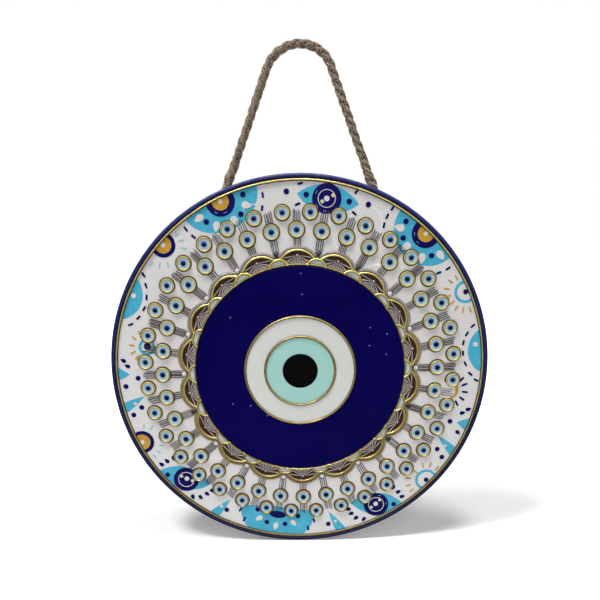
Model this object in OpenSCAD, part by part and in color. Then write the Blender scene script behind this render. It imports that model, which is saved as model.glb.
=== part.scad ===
// Evil eye wall ornament: a round plaque with a raised blue rim, a large glass-like eye, a ring of
// gold scallops and two rings of small eyes, hung by a jute rope from two rings on its back.
// X is to the right, +Z up, and the decorated face looks along -Y.

/* [Plaque] */
// Outer diameter of the plaque
plaque_d = 200; // [190:1:210]
// Thickness of the base plate under the inlaid face
plate_t = 5; // [4:0.5:7]
// Width of the rounded blue rim
rim_w = 2.4; // [2:0.1:3]
// Height of the rim above the base plate's recess
rim_h = 2; // [1.8:0.1:2.6]
// Thickness of the white face panel
panel_t = 1.2; // [1:0.1:1.6]
// Width of the gold bead beside the rim
rim_bead_w = 1.2; // [0.8:0.1:1.4]
// Height of the gold bead beside the rim
rim_bead_h = 0.9; // [0.8:0.1:1.2]
// Turn of the decoration on the plaque, in degrees
face_turn = 1.4; // [0:0.1:3]
// Thickness of the felt on the back
felt_t = 0.6; // [0.4:0.1:1]

/* [Large eye] */
// Radius of the navy field
navy_r = 55.4; // [54:0.1:56]
// Radius of the white ring
eye_white_r = 29.2; // [27:0.1:31]
// Radius of the turquoise iris
iris_r = 18.6; // [17:0.1:20]
// Radius of the black pupil
pupil_r = 9.3; // [8:0.1:11]
// Thickness of the large eye's pieces
eye_t = 1.6; // [1.4:0.1:2]
// Width of the gold beads between the pieces
eye_bead_w = 0.8; // [0.6:0.1:1]

/* [Scallops] */
// Number of scallops around the navy field
scallops = 18; // [18:1:18]
// Radius of one scallop's wire
scallop_r = 10.2; // [10:0.1:10.4]
// Radius of one link's wire between two scallops
link_r = 5; // [4.9:0.1:5.1]
// Width of the gold wire
wire_w = 1; // [0.8:0.1:1.1]
// Height of the gold wire above the panel
wire_h = 1; // [0.7:0.1:1.2]
// Radius of the beads between the scallops
junction_r = 1.25; // [1:0.05:1.3]

/* [Small eyes] */
// Number of small eyes in each ring
small_eyes = 36; // [36:1:36]
// Distance from the centre to the inner ring of eyes
inner_ring_r = 73; // [72.5:0.1:73.5]
// Distance from the centre to the outer ring of eyes
outer_ring_r = 81.7; // [81.4:0.1:82.4]
// Outer radius of an inner eye's gold rim
inner_rim_r = 4.1; // [3.9:0.05:4.2]
// Outer radius of an outer eye's gold rim
outer_rim_r = 3.9; // [3.7:0.05:4]
// Width of a small eye's gold rim
small_rim_w = 1; // [0.8:0.05:1.1]
// Height of a small eye's gold rim above the panel
small_rim_h = 1.3; // [1.1:0.1:1.5]

/* [Hanger] */
// Distance between the two hanger straps
strap_spacing = 86.5; // [86:0.5:87]
// Height of the hanger's pivot above the plaque's centre
pivot_h = 76; // [75:0.5:77]
// Radius of the rings' wire
ring_wire_r = 0.8; // [0.8:0.05:0.85]
// Radial clearance of the ring in its knuckle
pivot_gap = 0.05; // [0.02:0.01:0.08]
// Diameter of the jute rope
rope_d = 4.5; // [4.3:0.1:4.6]

/* [Wall feet] */
// Height of the feet, which is the gap to the wall
foot_h = 12; // [11.5:0.5:14]
// Radius of a foot at the wall
foot_r = 7; // [6:0.5:9]

/* [Hidden] */
$fn = 72;

// Distances from the origin, where the rope bears on its hook
plaque_drop = 158;
rope_to_felt = 5.65;

plaque_r = plaque_d / 2;
panel_r = plaque_r - rim_w - 0.05;
panel_top = plate_t + panel_t;
eye_top = plate_t + eye_t;
rim_fillet = 1.5;
back_y = -felt_t - rope_to_felt;

// Scallop ring: each wire is an arc about a centre on its own ray
scallop_step = 360 / scallops;
scallop_centre_r = 52.9;
link_centre_r = 54.1;
filigree_in = navy_r + 0.1;
filigree_out = filigree_in + 0.9;
fan_t = 0.2;
link_t = 0.4;
arc_gap = 1.2;
arc_w = 0.8;
arc_h = 0.5;
pearl_r = 0.6;
pearl_ring_r = 60.4;
junction_ring_r = 61.7;
// Junctions, counted clockwise from the top, whose bead is dark
dark_junctions = [0, 1, 5, 6, 12, 17];

eye_step = 360 / small_eyes;
small_white_t = 0.7;
small_disc_t = 0.2;
iris_share = 0.68;
pupil_share = 0.34;

// Hanger: a ring of two straight sides and a half round, tilted back from the plaque
strap_x = strap_spacing / 2;
strap_t = 1;
strap_w = 7;
strap_l = 20;
strap_screw_drop = 13;
knuckle_r = 2;
ring_half_w = 5.2;
ring_side = 3.8;
ring_tilt = 25;
pivot_w = -felt_t - knuckle_r;
screw_r = 1.5;
screw_head_r = 2.6;
screw_head_h = 1.4;
screw_depth = 4;

// Each rope leg leaves its ring at this angle from upright, towards the middle
leg_angle = 21.3;
rope_r = rope_d / 2;
eye_bend_r = ring_wire_r + rope_r + 0.1;
eye_length = 14;
splice_from = 8.5;
splice_to = 26;
splice_bulge = 0.95;
hitch_x = strap_x - ring_half_w * sin(leg_angle);
hitch_v = ring_side + ring_half_w * cos(leg_angle);
hitch_z = pivot_h + hitch_v * cos(ring_tilt) - plaque_drop;

// Rope from the left splice over the hook to the right splice, x and z about the hook
ROPE_SIDES = 10;
ROPE_ROUTE = [
    [-31.9, -50], [-28.1, -40], [-24.3, -30], [-20.6, -20], [-17, -10.5], [-15.5, -7],
    [-13.2, -3.7], [-9.8, -0.8], [-5.3, 1.4], [0, 2.25], [5.3, 1.4], [9.8, -0.8],
    [13.2, -3.9], [15, -7.3], [16.3, -10.5], [20, -20], [24, -30], [27.9, -40], [31.9, -50]
];

foot_spots = [[-60, -40], [60, -40], [-60, 40], [60, 40]];

// Places its children, drawn flat and facing up, on the plaque's back face
module on_plaque() translate([0, back_y, -plaque_drop]) rotate([90, 0, 0]) children();

// The same at a height above the back face, with the turn of the decoration
module on_face(level) on_plaque() rotate(face_turn) translate([0, 0, level]) children();

// Repeats its children around the plaque; the first is at the top, turned by "offset" degrees
module around(count, radius, offset = 0) {
    for (i = [0 : count - 1]) rotate(-offset - i * 360 / count) translate([0, radius, 0]) children();
}

module flat_ring(outer_r, inner_r, height) {
    linear_extrude(height) difference() {
        circle(outer_r);
        circle(inner_r);
    }
}

// A bead with a rounded top that lies on the plane z = 0
module round_bead(radius, width, height) {
    rotate_extrude() translate([radius, 0]) polygon(concat(
        [[-width / 2, 0], [width / 2, 0]],
        [for (a = [0 : 45 : 180]) width / 2 * [cos(a), sin(a)] + [0, height - width / 2]]
    ));
}

module dome(radius) {
    rotate_extrude() intersection() {
        circle(radius);
        square(radius);
    }
}

module base_plate() color("midnightblue") on_plaque() difference() {
    rotate_extrude($fn = 180) {
        square([plaque_r - rim_w, plate_t]);
        square([plaque_r - rim_fillet, 2 * rim_fillet]);
        translate([plaque_r - rim_fillet, rim_fillet]) circle(rim_fillet);
        translate([plaque_r - rim_w, rim_fillet]) square([rim_w, plate_t + rim_h - rim_w / 2 - rim_fillet]);
        translate([plaque_r - rim_w / 2, plate_t + rim_h - rim_w / 2]) circle(rim_w / 2);
    }
    for (side = [-1, 1])
        translate([side * strap_x, pivot_h - strap_screw_drop, -1]) cylinder(r = screw_r, h = screw_depth + 1);
}

module backing_felt() color("#20202c") on_plaque() translate([0, 0, -felt_t]) difference() {
    cylinder(r = plaque_r - 7, h = felt_t, $fn = 180);
    for (side = [-1, 1])
        translate([side * strap_x, pivot_h - strap_screw_drop, -1]) cylinder(r = screw_r + 0.1, h = felt_t + 2);
}

module face_panel() color("whitesmoke") on_plaque() translate([0, 0, plate_t])
    flat_ring(panel_r, navy_r + 0.05, panel_t, $fn = 180);

module rim_bead() color("gold") on_plaque() translate([0, 0, panel_top])
    round_bead(panel_r - rim_bead_w / 2, rim_bead_w, rim_bead_h, $fn = 180);

module navy_field() color("navy") on_plaque() translate([0, 0, plate_t])
    flat_ring(navy_r, eye_white_r + 0.05, eye_t, $fn = 180);

module eye_white_ring() color("white") on_plaque() translate([0, 0, plate_t])
    flat_ring(eye_white_r, iris_r + 0.05, eye_t, $fn = 120);

module eye_iris() color("paleturquoise") on_plaque() translate([0, 0, plate_t])
    flat_ring(iris_r, pupil_r + 0.05, eye_t, $fn = 120);

module eye_pupil() color("black") on_plaque() translate([0, 0, plate_t]) cylinder(r = pupil_r, h = eye_t);

module eye_outer_bead() color("gold") on_plaque() translate([0, 0, eye_top])
    round_bead(eye_white_r, eye_bead_w, 0.6, $fn = 120);

module eye_inner_bead() color("gold") on_plaque() translate([0, 0, eye_top])
    round_bead(iris_r, eye_bead_w, 0.6, $fn = 120);

// Discs of the links between the scallops, and of one scallop
module link_discs(radius) around(scallops, link_centre_r, scallop_step / 2) circle(radius);

module scallop_discs(radius) around(scallops, scallop_centre_r) circle(radius);

// Disc about the plaque's centre, fine enough for the thin shapes that it cuts
module navy_cut(radius) circle(radius, $fn = 360);

module gold_filigree() color("gold") on_face(panel_top) linear_extrude(wire_h)
    difference() {
        union() {
            difference() {
                scallop_discs(scallop_r + wire_w / 2);
                around(scallops, scallop_centre_r) circle(scallop_r - wire_w / 2);
                link_discs(link_r);
            }
            difference() {
                link_discs(link_r + wire_w / 2);
                link_discs(link_r - wire_w / 2);
            }
            navy_cut(filigree_out);
        }
        navy_cut(filigree_in);
    }

module outer_arcs() color("dimgray") on_face(panel_top) linear_extrude(arc_h)
    difference() {
        scallop_discs(scallop_r + arc_gap + arc_w);
        scallop_discs(scallop_r + arc_gap);
        link_discs(link_r + wire_w / 2 + 0.05);
        around(scallops, junction_ring_r, scallop_step / 2) circle(junction_r + 0.1);
        navy_cut(filigree_out);
    }

module fan_panels() color("rosybrown") on_face(panel_top) linear_extrude(fan_t)
    difference() {
        scallop_discs(scallop_r - wire_w / 2 - 0.05);
        link_discs(link_r + wire_w / 2 + 0.05);
        navy_cut(filigree_out + 0.05);
    }

module fan_pearls() color("ivory") on_face(panel_top + fan_t) around(scallops, pearl_ring_r) dome(pearl_r);

module link_enamels() color("lightcyan") on_face(panel_top) linear_extrude(link_t)
    difference() {
        link_discs(link_r - wire_w / 2 - 0.05);
        navy_cut(filigree_out + 0.05);
    }

// Beads at the junctions whose place in the list of dark ones is as asked
module junction_beads(dark) on_face(panel_top)
    for (i = [0 : scallops - 1])
        if ((len(search(i, dark_junctions)) > 0) == dark)
            rotate(-(i + 0.5) * scallop_step) translate([0, junction_ring_r, 0]) dome(junction_r);

module white_beads() color("ivory") junction_beads(false);

module dark_beads() color("dimgray") junction_beads(true);

// One ring of small eyes: rims, then the white, light blue and dark discs that lie in them
module small_rims(ring_r, rim_r, offset) on_face(panel_top)
    around(small_eyes, ring_r, offset) round_bead(rim_r - small_rim_w / 2, small_rim_w, small_rim_h);

module small_discs(ring_r, rim_r, offset, share, level, height) on_face(panel_top + level)
    around(small_eyes, ring_r, offset) cylinder(r = (rim_r - small_rim_w - 0.05) * share, h = height);

module inner_eye_rims() color("gold") small_rims(inner_ring_r, inner_rim_r, 0);

module inner_eye_whites() color("white") small_discs(inner_ring_r, inner_rim_r, 0, 1, 0, small_white_t);

module inner_eye_irises() color("lightblue")
    small_discs(inner_ring_r, inner_rim_r, 0, iris_share, small_white_t, small_disc_t);

module inner_eye_pupils() color("midnightblue")
    small_discs(inner_ring_r, inner_rim_r, 0, pupil_share, small_white_t + small_disc_t, small_disc_t);

module outer_eye_rims() color("gold") small_rims(outer_ring_r, outer_rim_r, eye_step / 2);

module outer_eye_whites() color("white")
    small_discs(outer_ring_r, outer_rim_r, eye_step / 2, 1, 0, small_white_t);

module outer_eye_irises() color("lightblue")
    small_discs(outer_ring_r, outer_rim_r, eye_step / 2, iris_share, small_white_t, small_disc_t);

module outer_eye_pupils() color("midnightblue")
    small_discs(outer_ring_r, outer_rim_r, eye_step / 2, pupil_share, small_white_t + small_disc_t, small_disc_t);

// Strap folded from sheet, with the knuckle that its ring turns in
module strap(side) color("silver") on_plaque() translate([side * strap_x, pivot_h, 0]) difference() {
    union() {
        translate([-strap_w / 2, -strap_l + strap_w / 2, -felt_t - strap_t]) cube([strap_w, strap_l - strap_w / 2, strap_t]);
        translate([0, -strap_l + strap_w / 2, -felt_t - strap_t]) cylinder(d = strap_w, h = strap_t);
        translate([0, 0, pivot_w]) rotate([0, 90, 0]) cylinder(r = knuckle_r, h = strap_w, center = true);
    }
    translate([0, 0, pivot_w]) rotate([0, 90, 0])
        cylinder(r = ring_wire_r + pivot_gap, h = strap_w + 2, center = true);
    translate([0, -strap_screw_drop, -felt_t - strap_t - 1]) cylinder(r = screw_r + 0.1, h = strap_t + 2);
}

module left_strap() strap(-1);

module right_strap() strap(1);

module strap_screws() color("gainsboro") on_plaque() for (side = [-1, 1])
    translate([side * strap_x, pivot_h - strap_screw_drop, -felt_t - strap_t]) {
        translate([0, 0, -0.4]) cylinder(r = screw_r, h = screw_depth + felt_t + strap_t + 0.4);
        mirror([0, 0, 1]) rotate_extrude() {
            square([screw_head_r - 0.4, screw_head_h]);
            square([screw_head_r, screw_head_h - 0.4]);
            translate([screw_head_r - 0.4, screw_head_h - 0.4]) circle(0.4);
        }
    }

module wall_feet() color("dimgray") on_plaque() for (spot = foot_spots)
    translate([spot[0], spot[1], -felt_t]) mirror([0, 0, 1])
        cylinder(r1 = foot_r + 1, r2 = foot_r, h = foot_h - felt_t);

// Ring of round wire; its straight bar lies along X in the knuckle
module hanger_ring(side) color("silver") on_plaque() translate([side * strap_x, pivot_h, pivot_w])
    rotate([-ring_tilt, 0, 0]) {
        rotate([0, 90, 0]) cylinder(r = ring_wire_r, h = 2 * ring_half_w, center = true);
        for (end = [-1, 1]) translate([end * ring_half_w, 0, 0]) {
            sphere(ring_wire_r);
            rotate([-90, 0, 0]) cylinder(r = ring_wire_r, h = ring_side);
        }
        translate([0, ring_side, 0]) rotate_extrude(angle = 180) translate([ring_half_w, 0]) circle(ring_wire_r);
    }

module left_ring() hanger_ring(-1);

module right_ring() hanger_ring(1);

function unit(v) = v / norm(v);

function tangent(path, i) = unit(path[min(i + 1, len(path) - 1)] - path[max(i - 1, 0)]);

// Tube along a path, or from one of its points to another; "across" is a direction that the path never follows
module swept_tube(path, radius, across, begin = 0, end = undef) {
    stop = is_undef(end) ? len(path) - 1 : end;
    count = stop - begin + 1;
    points = [
        for (i = [begin : stop])
            let (along = tangent(path, i), u = unit(cross(along, across)), v = cross(along, u))
            for (k = [0 : ROPE_SIDES - 1])
                path[i] + radius * (cos(k * 360 / ROPE_SIDES) * u + sin(k * 360 / ROPE_SIDES) * v)
    ];
    sides = [
        for (i = [0 : count - 2], k = [0 : ROPE_SIDES - 1])
            let (n = (k + 1) % ROPE_SIDES, a = i * ROPE_SIDES, b = a + ROPE_SIDES)
            [a + k, b + k, b + n, a + n]
    ];
    first = [for (k = [0 : ROPE_SIDES - 1]) k];
    last = [for (k = [ROPE_SIDES - 1 : -1 : 0]) (count - 1) * ROPE_SIDES + k];
    polyhedron(points, concat(sides, [first, last]));
}

// Rope bent round the ring's wire: straight down the front, half a turn, and back up behind
function eye_side(sign) = [
    for (t = [0 : 0.25 : 0.75]) [0, sign * eye_bend_r * (0.16 + 0.84 * pow(sin(90 * t), 1.2)), eye_length * (1 - t)]
];

function eye_path() = concat(
    eye_side(-1),
    [for (a = [0 : 30 : 180]) [0, -eye_bend_r * cos(a), -eye_bend_r * sin(a)]],
    [for (i = [3 : -1 : 0]) eye_side(1)[i]]
);

// Children stand on the spot where the rope meets its ring, with Z along the rope's leg
module at_hitch(side) translate([side * hitch_x, 0, hitch_z]) rotate([0, -side * leg_angle, 0]) children();

// The eye is two halves that meet below the wire, and run into each other above it
module rope_eye(side) color("tan") at_hitch(side) {
    middle = (len(eye_path()) - 1) / 2;
    swept_tube(eye_path(), rope_r, [1, 0, 0], end = middle);
    swept_tube(eye_path(), rope_r, [1, 0, 0], begin = middle);
}

module left_rope_eye() rope_eye(-1);

module right_rope_eye() rope_eye(1);

// Swelling where the rope's end is tucked back into its own strands
module splice(side) color("burlywood") at_hitch(side) rotate_extrude() polygon(concat(
    [[0, splice_from]],
    [for (t = [0 : 0.125 : 1])
        [rope_r + splice_bulge * pow(sin(180 * pow(t, 0.7)), 0.8), splice_from + t * (splice_to - splice_from)]],
    [[0, splice_to]]
));

module left_splice() splice(-1);

module right_splice() splice(1);

module rope_loop() color("tan") swept_tube([for (p = ROPE_ROUTE) [p[0], 0, p[1]]], rope_r, [0, 1, 0]);

base_plate();
backing_felt();
face_panel();
rim_bead();
navy_field();
eye_white_ring();
eye_iris();
eye_pupil();
eye_outer_bead();
eye_inner_bead();
gold_filigree();
outer_arcs();
fan_panels();
fan_pearls();
link_enamels();
white_beads();
dark_beads();
inner_eye_rims();
inner_eye_whites();
inner_eye_irises();
inner_eye_pupils();
outer_eye_rims();
outer_eye_whites();
outer_eye_irises();
outer_eye_pupils();
left_strap();
right_strap();
strap_screws();
wall_feet();
left_ring();
right_ring();
left_rope_eye();
right_rope_eye();
left_splice();
right_splice();
rope_loop();
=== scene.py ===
"""Looks of the evil eye wall ornament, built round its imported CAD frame.

Each sub-assembly is a class that draws its own pieces in millimetres on the plaque's face: X to the right,
Y up, Z from the plaque's back towards the viewer. A piece is moved into the row frame, in metres, when it is
finished.
"""

import logging
import math
import random
from dataclasses import dataclass, field
from enum import Enum
from typing import Callable, Optional, Sequence

import bmesh
import bpy
from mathutils import Euler, Matrix, Vector, noise


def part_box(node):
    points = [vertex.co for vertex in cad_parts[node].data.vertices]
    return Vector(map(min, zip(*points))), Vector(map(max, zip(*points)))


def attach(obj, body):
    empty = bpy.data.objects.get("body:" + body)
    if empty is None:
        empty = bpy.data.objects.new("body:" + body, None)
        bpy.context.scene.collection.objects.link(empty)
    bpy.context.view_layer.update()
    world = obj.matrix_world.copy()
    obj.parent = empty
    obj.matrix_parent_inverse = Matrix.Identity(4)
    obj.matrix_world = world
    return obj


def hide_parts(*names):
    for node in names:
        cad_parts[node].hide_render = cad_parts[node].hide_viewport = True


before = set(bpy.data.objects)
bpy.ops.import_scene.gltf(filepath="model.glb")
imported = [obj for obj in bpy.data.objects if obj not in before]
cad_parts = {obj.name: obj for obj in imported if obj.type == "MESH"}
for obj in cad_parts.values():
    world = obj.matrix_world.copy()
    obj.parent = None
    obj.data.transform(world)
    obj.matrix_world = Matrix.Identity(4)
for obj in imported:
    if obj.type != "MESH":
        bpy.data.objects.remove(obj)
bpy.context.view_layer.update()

LOG = logging.getLogger("evil_eye")
MM = 0.001
Point = tuple[float, float]
Colour = tuple[float, float, float, float]


class Body(Enum):
    """The bodies that pieces ride on."""

    HANGER = "hanger"
    PLAQUE = "plaque"


class Slot(Enum):
    """The record's material slots."""

    BLUE_BODY = "blue_body"
    FELT = "felt"
    WHITE_FACE = "white_face"
    GOLD = "gold"
    NAVY_RESIN = "navy_resin"
    WHITE_ENAMEL = "white_enamel"
    TURQUOISE_ENAMEL = "turquoise_enamel"
    BLACK_ENAMEL = "black_enamel"
    GREY_METAL = "grey_metal"
    FAN_ENAMEL = "fan_enamel"
    PEARL = "pearl"
    PALE_ENAMEL = "pale_enamel"
    DARK_BEAD = "dark_bead"
    EYE_WHITE = "small_eye_white"
    EYE_BLUE = "small_eye_blue"
    EYE_DARK = "small_eye_dark"
    STEEL = "steel"
    RUBBER = "rubber"
    JUTE = "jute"


# ---------------------------------------- drawing helpers


def polar(angle: float, radius: float) -> Point:
    """Point at an angle clockwise from the top, in degrees, and a distance from the middle."""
    return radius * math.sin(math.radians(angle)), radius * math.cos(math.radians(angle))


def arc(centre: Point, radius: float, start: float, stop: float, steps: int) -> list[Point]:
    """Points on an arc, both ends included.

    Args:
        centre: Centre of the arc.
        radius: Radius of the arc.
        start: First angle from the X axis, in degrees.
        stop: Last angle, in degrees.
        steps: Number of chords.

    Returns:
        The points, in order.
    """
    turns = [math.radians(start + (stop - start) * i / steps) for i in range(steps + 1)]
    return [(centre[0] + radius * math.cos(t), centre[1] + radius * math.sin(t)) for t in turns]


def oval(half_width: float, half_height: float, steps: int = 40) -> list[Point]:
    """Outline of an ellipse about the origin."""
    turns = [math.tau * i / steps for i in range(steps)]
    return [(half_width * math.cos(t), half_height * math.sin(t)) for t in turns]


def lens(length: float, bulge: float, steps: int = 14) -> list[Point]:
    """Outline of a pointed almond along X: two arcs that stand "bulge" off the chord between the tips."""
    half = length / 2
    radius = (half * half + bulge * bulge) / (2 * bulge)
    spread = math.degrees(math.asin(half / radius))
    upper = arc((0, bulge - radius), radius, 90 - spread, 90 + spread, steps)
    lower = arc((0, radius - bulge), radius, 270 - spread, 270 + spread, steps)
    return upper[:-1] + lower[:-1]


def bowed(start: Point, stop: Point, bow: float, steps: int = 10) -> list[Point]:
    """Points of a shallow bow from one point to just short of another, swelling to the left of its way."""
    first, last = Vector(start), Vector(stop)
    side = Vector((first.y - last.y, last.x - first.x)).normalized() * bow * 4
    shares = [i / steps for i in range(steps)]
    return [tuple(first.lerp(last, t) + side * t * (1 - t)) for t in shares]


def drop(length: float, width: float, steps: int = 20) -> list[Point]:
    """Outline of a drop along Y with its point upwards."""
    turns = [math.tau * i / steps for i in range(steps)]
    return [
        (width / 2 * math.sin(t) * math.sin(t / 2) ** 0.8 * 1.2, length / 2 * math.cos(t)) for t in turns
    ]


def stadium(length: float, width: float, steps: int = 6) -> list[Point]:
    """Outline of a bar along Y with round ends."""
    reach = (length - width) / 2
    return arc((0, reach), width / 2, 0, 180, steps) + arc((0, -reach), width / 2, 180, 360, steps)


def turned(degrees: float, axis: str = "Z") -> Matrix:
    """Turn about an axis."""
    return Matrix.Rotation(math.radians(degrees), 4, axis)


def at(angle: float, radius: float, tilt: float = 0.0, height: float = 0.0) -> Matrix:
    """Place on the face at a clockwise angle and a distance, turned a further "tilt" degrees clockwise."""
    return (
        turned(-angle)
        @ Matrix.Translation((0, radius, height))
        @ turned(-tilt)
    )


def away_from(spot: Point, centre: Point, across: bool = False) -> Matrix:
    """Place at one clockwise angle and distance whose Y points away from another such place.

    Args:
        spot: Angle and distance of the place.
        centre: Angle and distance of the place that it turns its back on.
        across: Whether X points away instead of Y.

    Returns:
        The matrix of the place.
    """
    here, there = Vector(polar(*spot)), Vector(polar(*centre))
    away = (here - there).to_3d()
    turn = math.atan2(away.y, away.x) - (0 if across else math.pi / 2)
    return Matrix.Translation(here.to_3d()) @ Matrix.Rotation(turn, 4, "Z")


def mesh_of(bm: bmesh.types.BMesh) -> bpy.types.Mesh:
    """Turns a bmesh into a mesh with its doubles merged and its faces outwards."""
    bmesh.ops.remove_doubles(bm, verts=bm.verts[:], dist=1e-4)
    bmesh.ops.recalc_face_normals(bm, faces=bm.faces[:])
    mesh = bpy.data.meshes.new("blank")
    bm.to_mesh(mesh)
    bm.free()
    return mesh


def lathed(
    profile: Sequence[Point], steps: int, closed: bool = False, sweep: float = 360.0
) -> bpy.types.Mesh:
    """Spins a profile of (radius, height) round Z.

    Args:
        profile: Points of the profile, from the axis outwards or round a ring's section.
        steps: Steps of the spin.
        closed: Whether the last point joins the first.
        sweep: Degrees to spin through, from the X axis; under a full turn the ends are capped.

    Returns:
        The mesh.
    """
    bm = bmesh.new()
    verts = [bm.verts.new((radius, 0, height)) for radius, height in profile]
    pairs = list(zip(verts, verts[1:])) + ([(verts[-1], verts[0])] if closed else [])
    edges = [bm.edges.new(pair) for pair in pairs]
    full = sweep >= 360
    bmesh.ops.spin(
        bm, geom=verts + edges, cent=(0, 0, 0), axis=(0, 0, 1), angle=math.radians(sweep), steps=steps,
        use_merge=full
    )
    if closed and not full:
        bmesh.ops.holes_fill(bm, edges=[e for e in bm.edges if e.is_boundary], sides=0)
    return mesh_of(bm)


def slab(outline: Sequence[Point], bottom: float, top: float, soften: float = 0.0) -> bpy.types.Mesh:
    """Flat piece of an outline between two heights.

    Args:
        outline: Points round the piece.
        bottom: Height of its underside.
        top: Height of its top.
        soften: Inset of a bevelled top edge, or 0 for a sharp one.

    Returns:
        The mesh.
    """
    bm = bmesh.new()
    base = bm.faces.new([bm.verts.new((x, y, bottom)) for x, y in outline])
    grown = bmesh.ops.extrude_face_region(bm, geom=[base], use_keep_orig=True)["geom"]
    lid = next(g for g in grown if isinstance(g, bmesh.types.BMFace))
    bmesh.ops.translate(bm, verts=lid.verts[:], vec=(0, 0, top - bottom - soften))
    if soften:
        bmesh.ops.inset_individual(bm, faces=[lid], thickness=soften, depth=soften, use_even_offset=True)
    return mesh_of(bm)


def rounded_block(size: Sequence[float], edge: float) -> bpy.types.Mesh:
    """Block about the origin with rounded edges."""
    bm = bmesh.new()
    bmesh.ops.create_cube(bm, size=1)
    bmesh.ops.scale(bm, vec=size, verts=bm.verts[:])
    bmesh.ops.bevel(
        bm, geom=bm.edges[:], offset=edge, segments=2, profile=0.5, affect="EDGES", material=-1,
        clamp_overlap=True
    )
    return mesh_of(bm)


def ball(radius: float, flat: float = 1.0, rows: int = 8) -> bpy.types.Mesh:
    """Ball about the origin, squeezed along Z to the share "flat"."""
    bm = bmesh.new()
    bmesh.ops.create_uvsphere(bm, u_segments=2 * rows, v_segments=rows, radius=radius)
    bmesh.ops.scale(bm, vec=(1, 1, flat), verts=bm.verts[:])
    return mesh_of(bm)


def tube(
    path: Sequence[Vector], radii: Sequence[float], detail: int = 1, looped: bool = False
) -> bpy.types.Mesh:
    """Round tube along a path, with its own UV map in millimetres along and in turns round.

    Args:
        path: Points of the centreline.
        radii: Radius at each point.
        detail: Resolution of the round section.
        looped: Whether the path closes on itself.

    Returns:
        The mesh.
    """
    curve = bpy.data.curves.new("tube", "CURVE")
    curve.dimensions = "3D"
    curve.bevel_depth = 1.0
    curve.bevel_resolution = detail
    curve.use_fill_caps = not looped
    curve.twist_mode = "MINIMUM"
    spline = curve.splines.new("POLY")
    spline.points.add(len(path) - 1)
    spline.use_cyclic_u = looped
    for knot, spot, radius in zip(spline.points, path, radii):
        knot.co = (*spot, 1.0)
        knot.radius = radius
    holder = bpy.data.objects.new("tube", curve)
    bpy.context.scene.collection.objects.link(holder)
    mesh = bpy.data.meshes.new_from_object(holder.evaluated_get(bpy.context.evaluated_depsgraph_get()))
    bpy.data.objects.remove(holder)
    bpy.data.curves.remove(curve)
    length = sum((b - a).length for a, b in zip(path, path[1:]))
    for corner in mesh.uv_layers[0].data:
        corner.uv = (corner.uv[0], corner.uv[1] * length)
    return mesh


def combined(mesh: bpy.types.Mesh, tool: bpy.types.Mesh, operation: str) -> bpy.types.Mesh:
    """Result of an exact Boolean of a mesh with a tool: INTERSECT, DIFFERENCE or UNION."""
    holders = [bpy.data.objects.new(name, data) for name, data in (("work", mesh), ("tool", tool))]
    for holder in holders:
        bpy.context.scene.collection.objects.link(holder)
    modifier = holders[0].modifiers.new("cut", "BOOLEAN")
    modifier.object = holders[1]
    modifier.operation = operation
    modifier.solver = "EXACT"
    result = bpy.data.meshes.new_from_object(holders[0].evaluated_get(bpy.context.evaluated_depsgraph_get()))
    for holder in holders:
        bpy.data.objects.remove(holder)
    return result


def tag(mesh: bpy.types.Mesh, name: str, rule: Callable[[Vector], float]) -> bpy.types.Mesh:
    """Stores a number on each point, worked out from its place, for a material to read."""
    layer = mesh.attributes.new(name, "FLOAT", "POINT")
    for vert in mesh.vertices:
        layer.data[vert.index].value = rule(vert.co)
    return mesh


# ---------------------------------------- shader nodes


def srgb(red: float, green: float, blue: float) -> Colour:
    """Linear colour from sRGB values of 0 to 255."""
    shares = (red / 255, green / 255, blue / 255)
    linear = [s / 12.92 if s <= 0.04045 else ((s + 0.055) / 1.055) ** 2.4 for s in shares]
    return linear[0], linear[1], linear[2], 1.0


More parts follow.
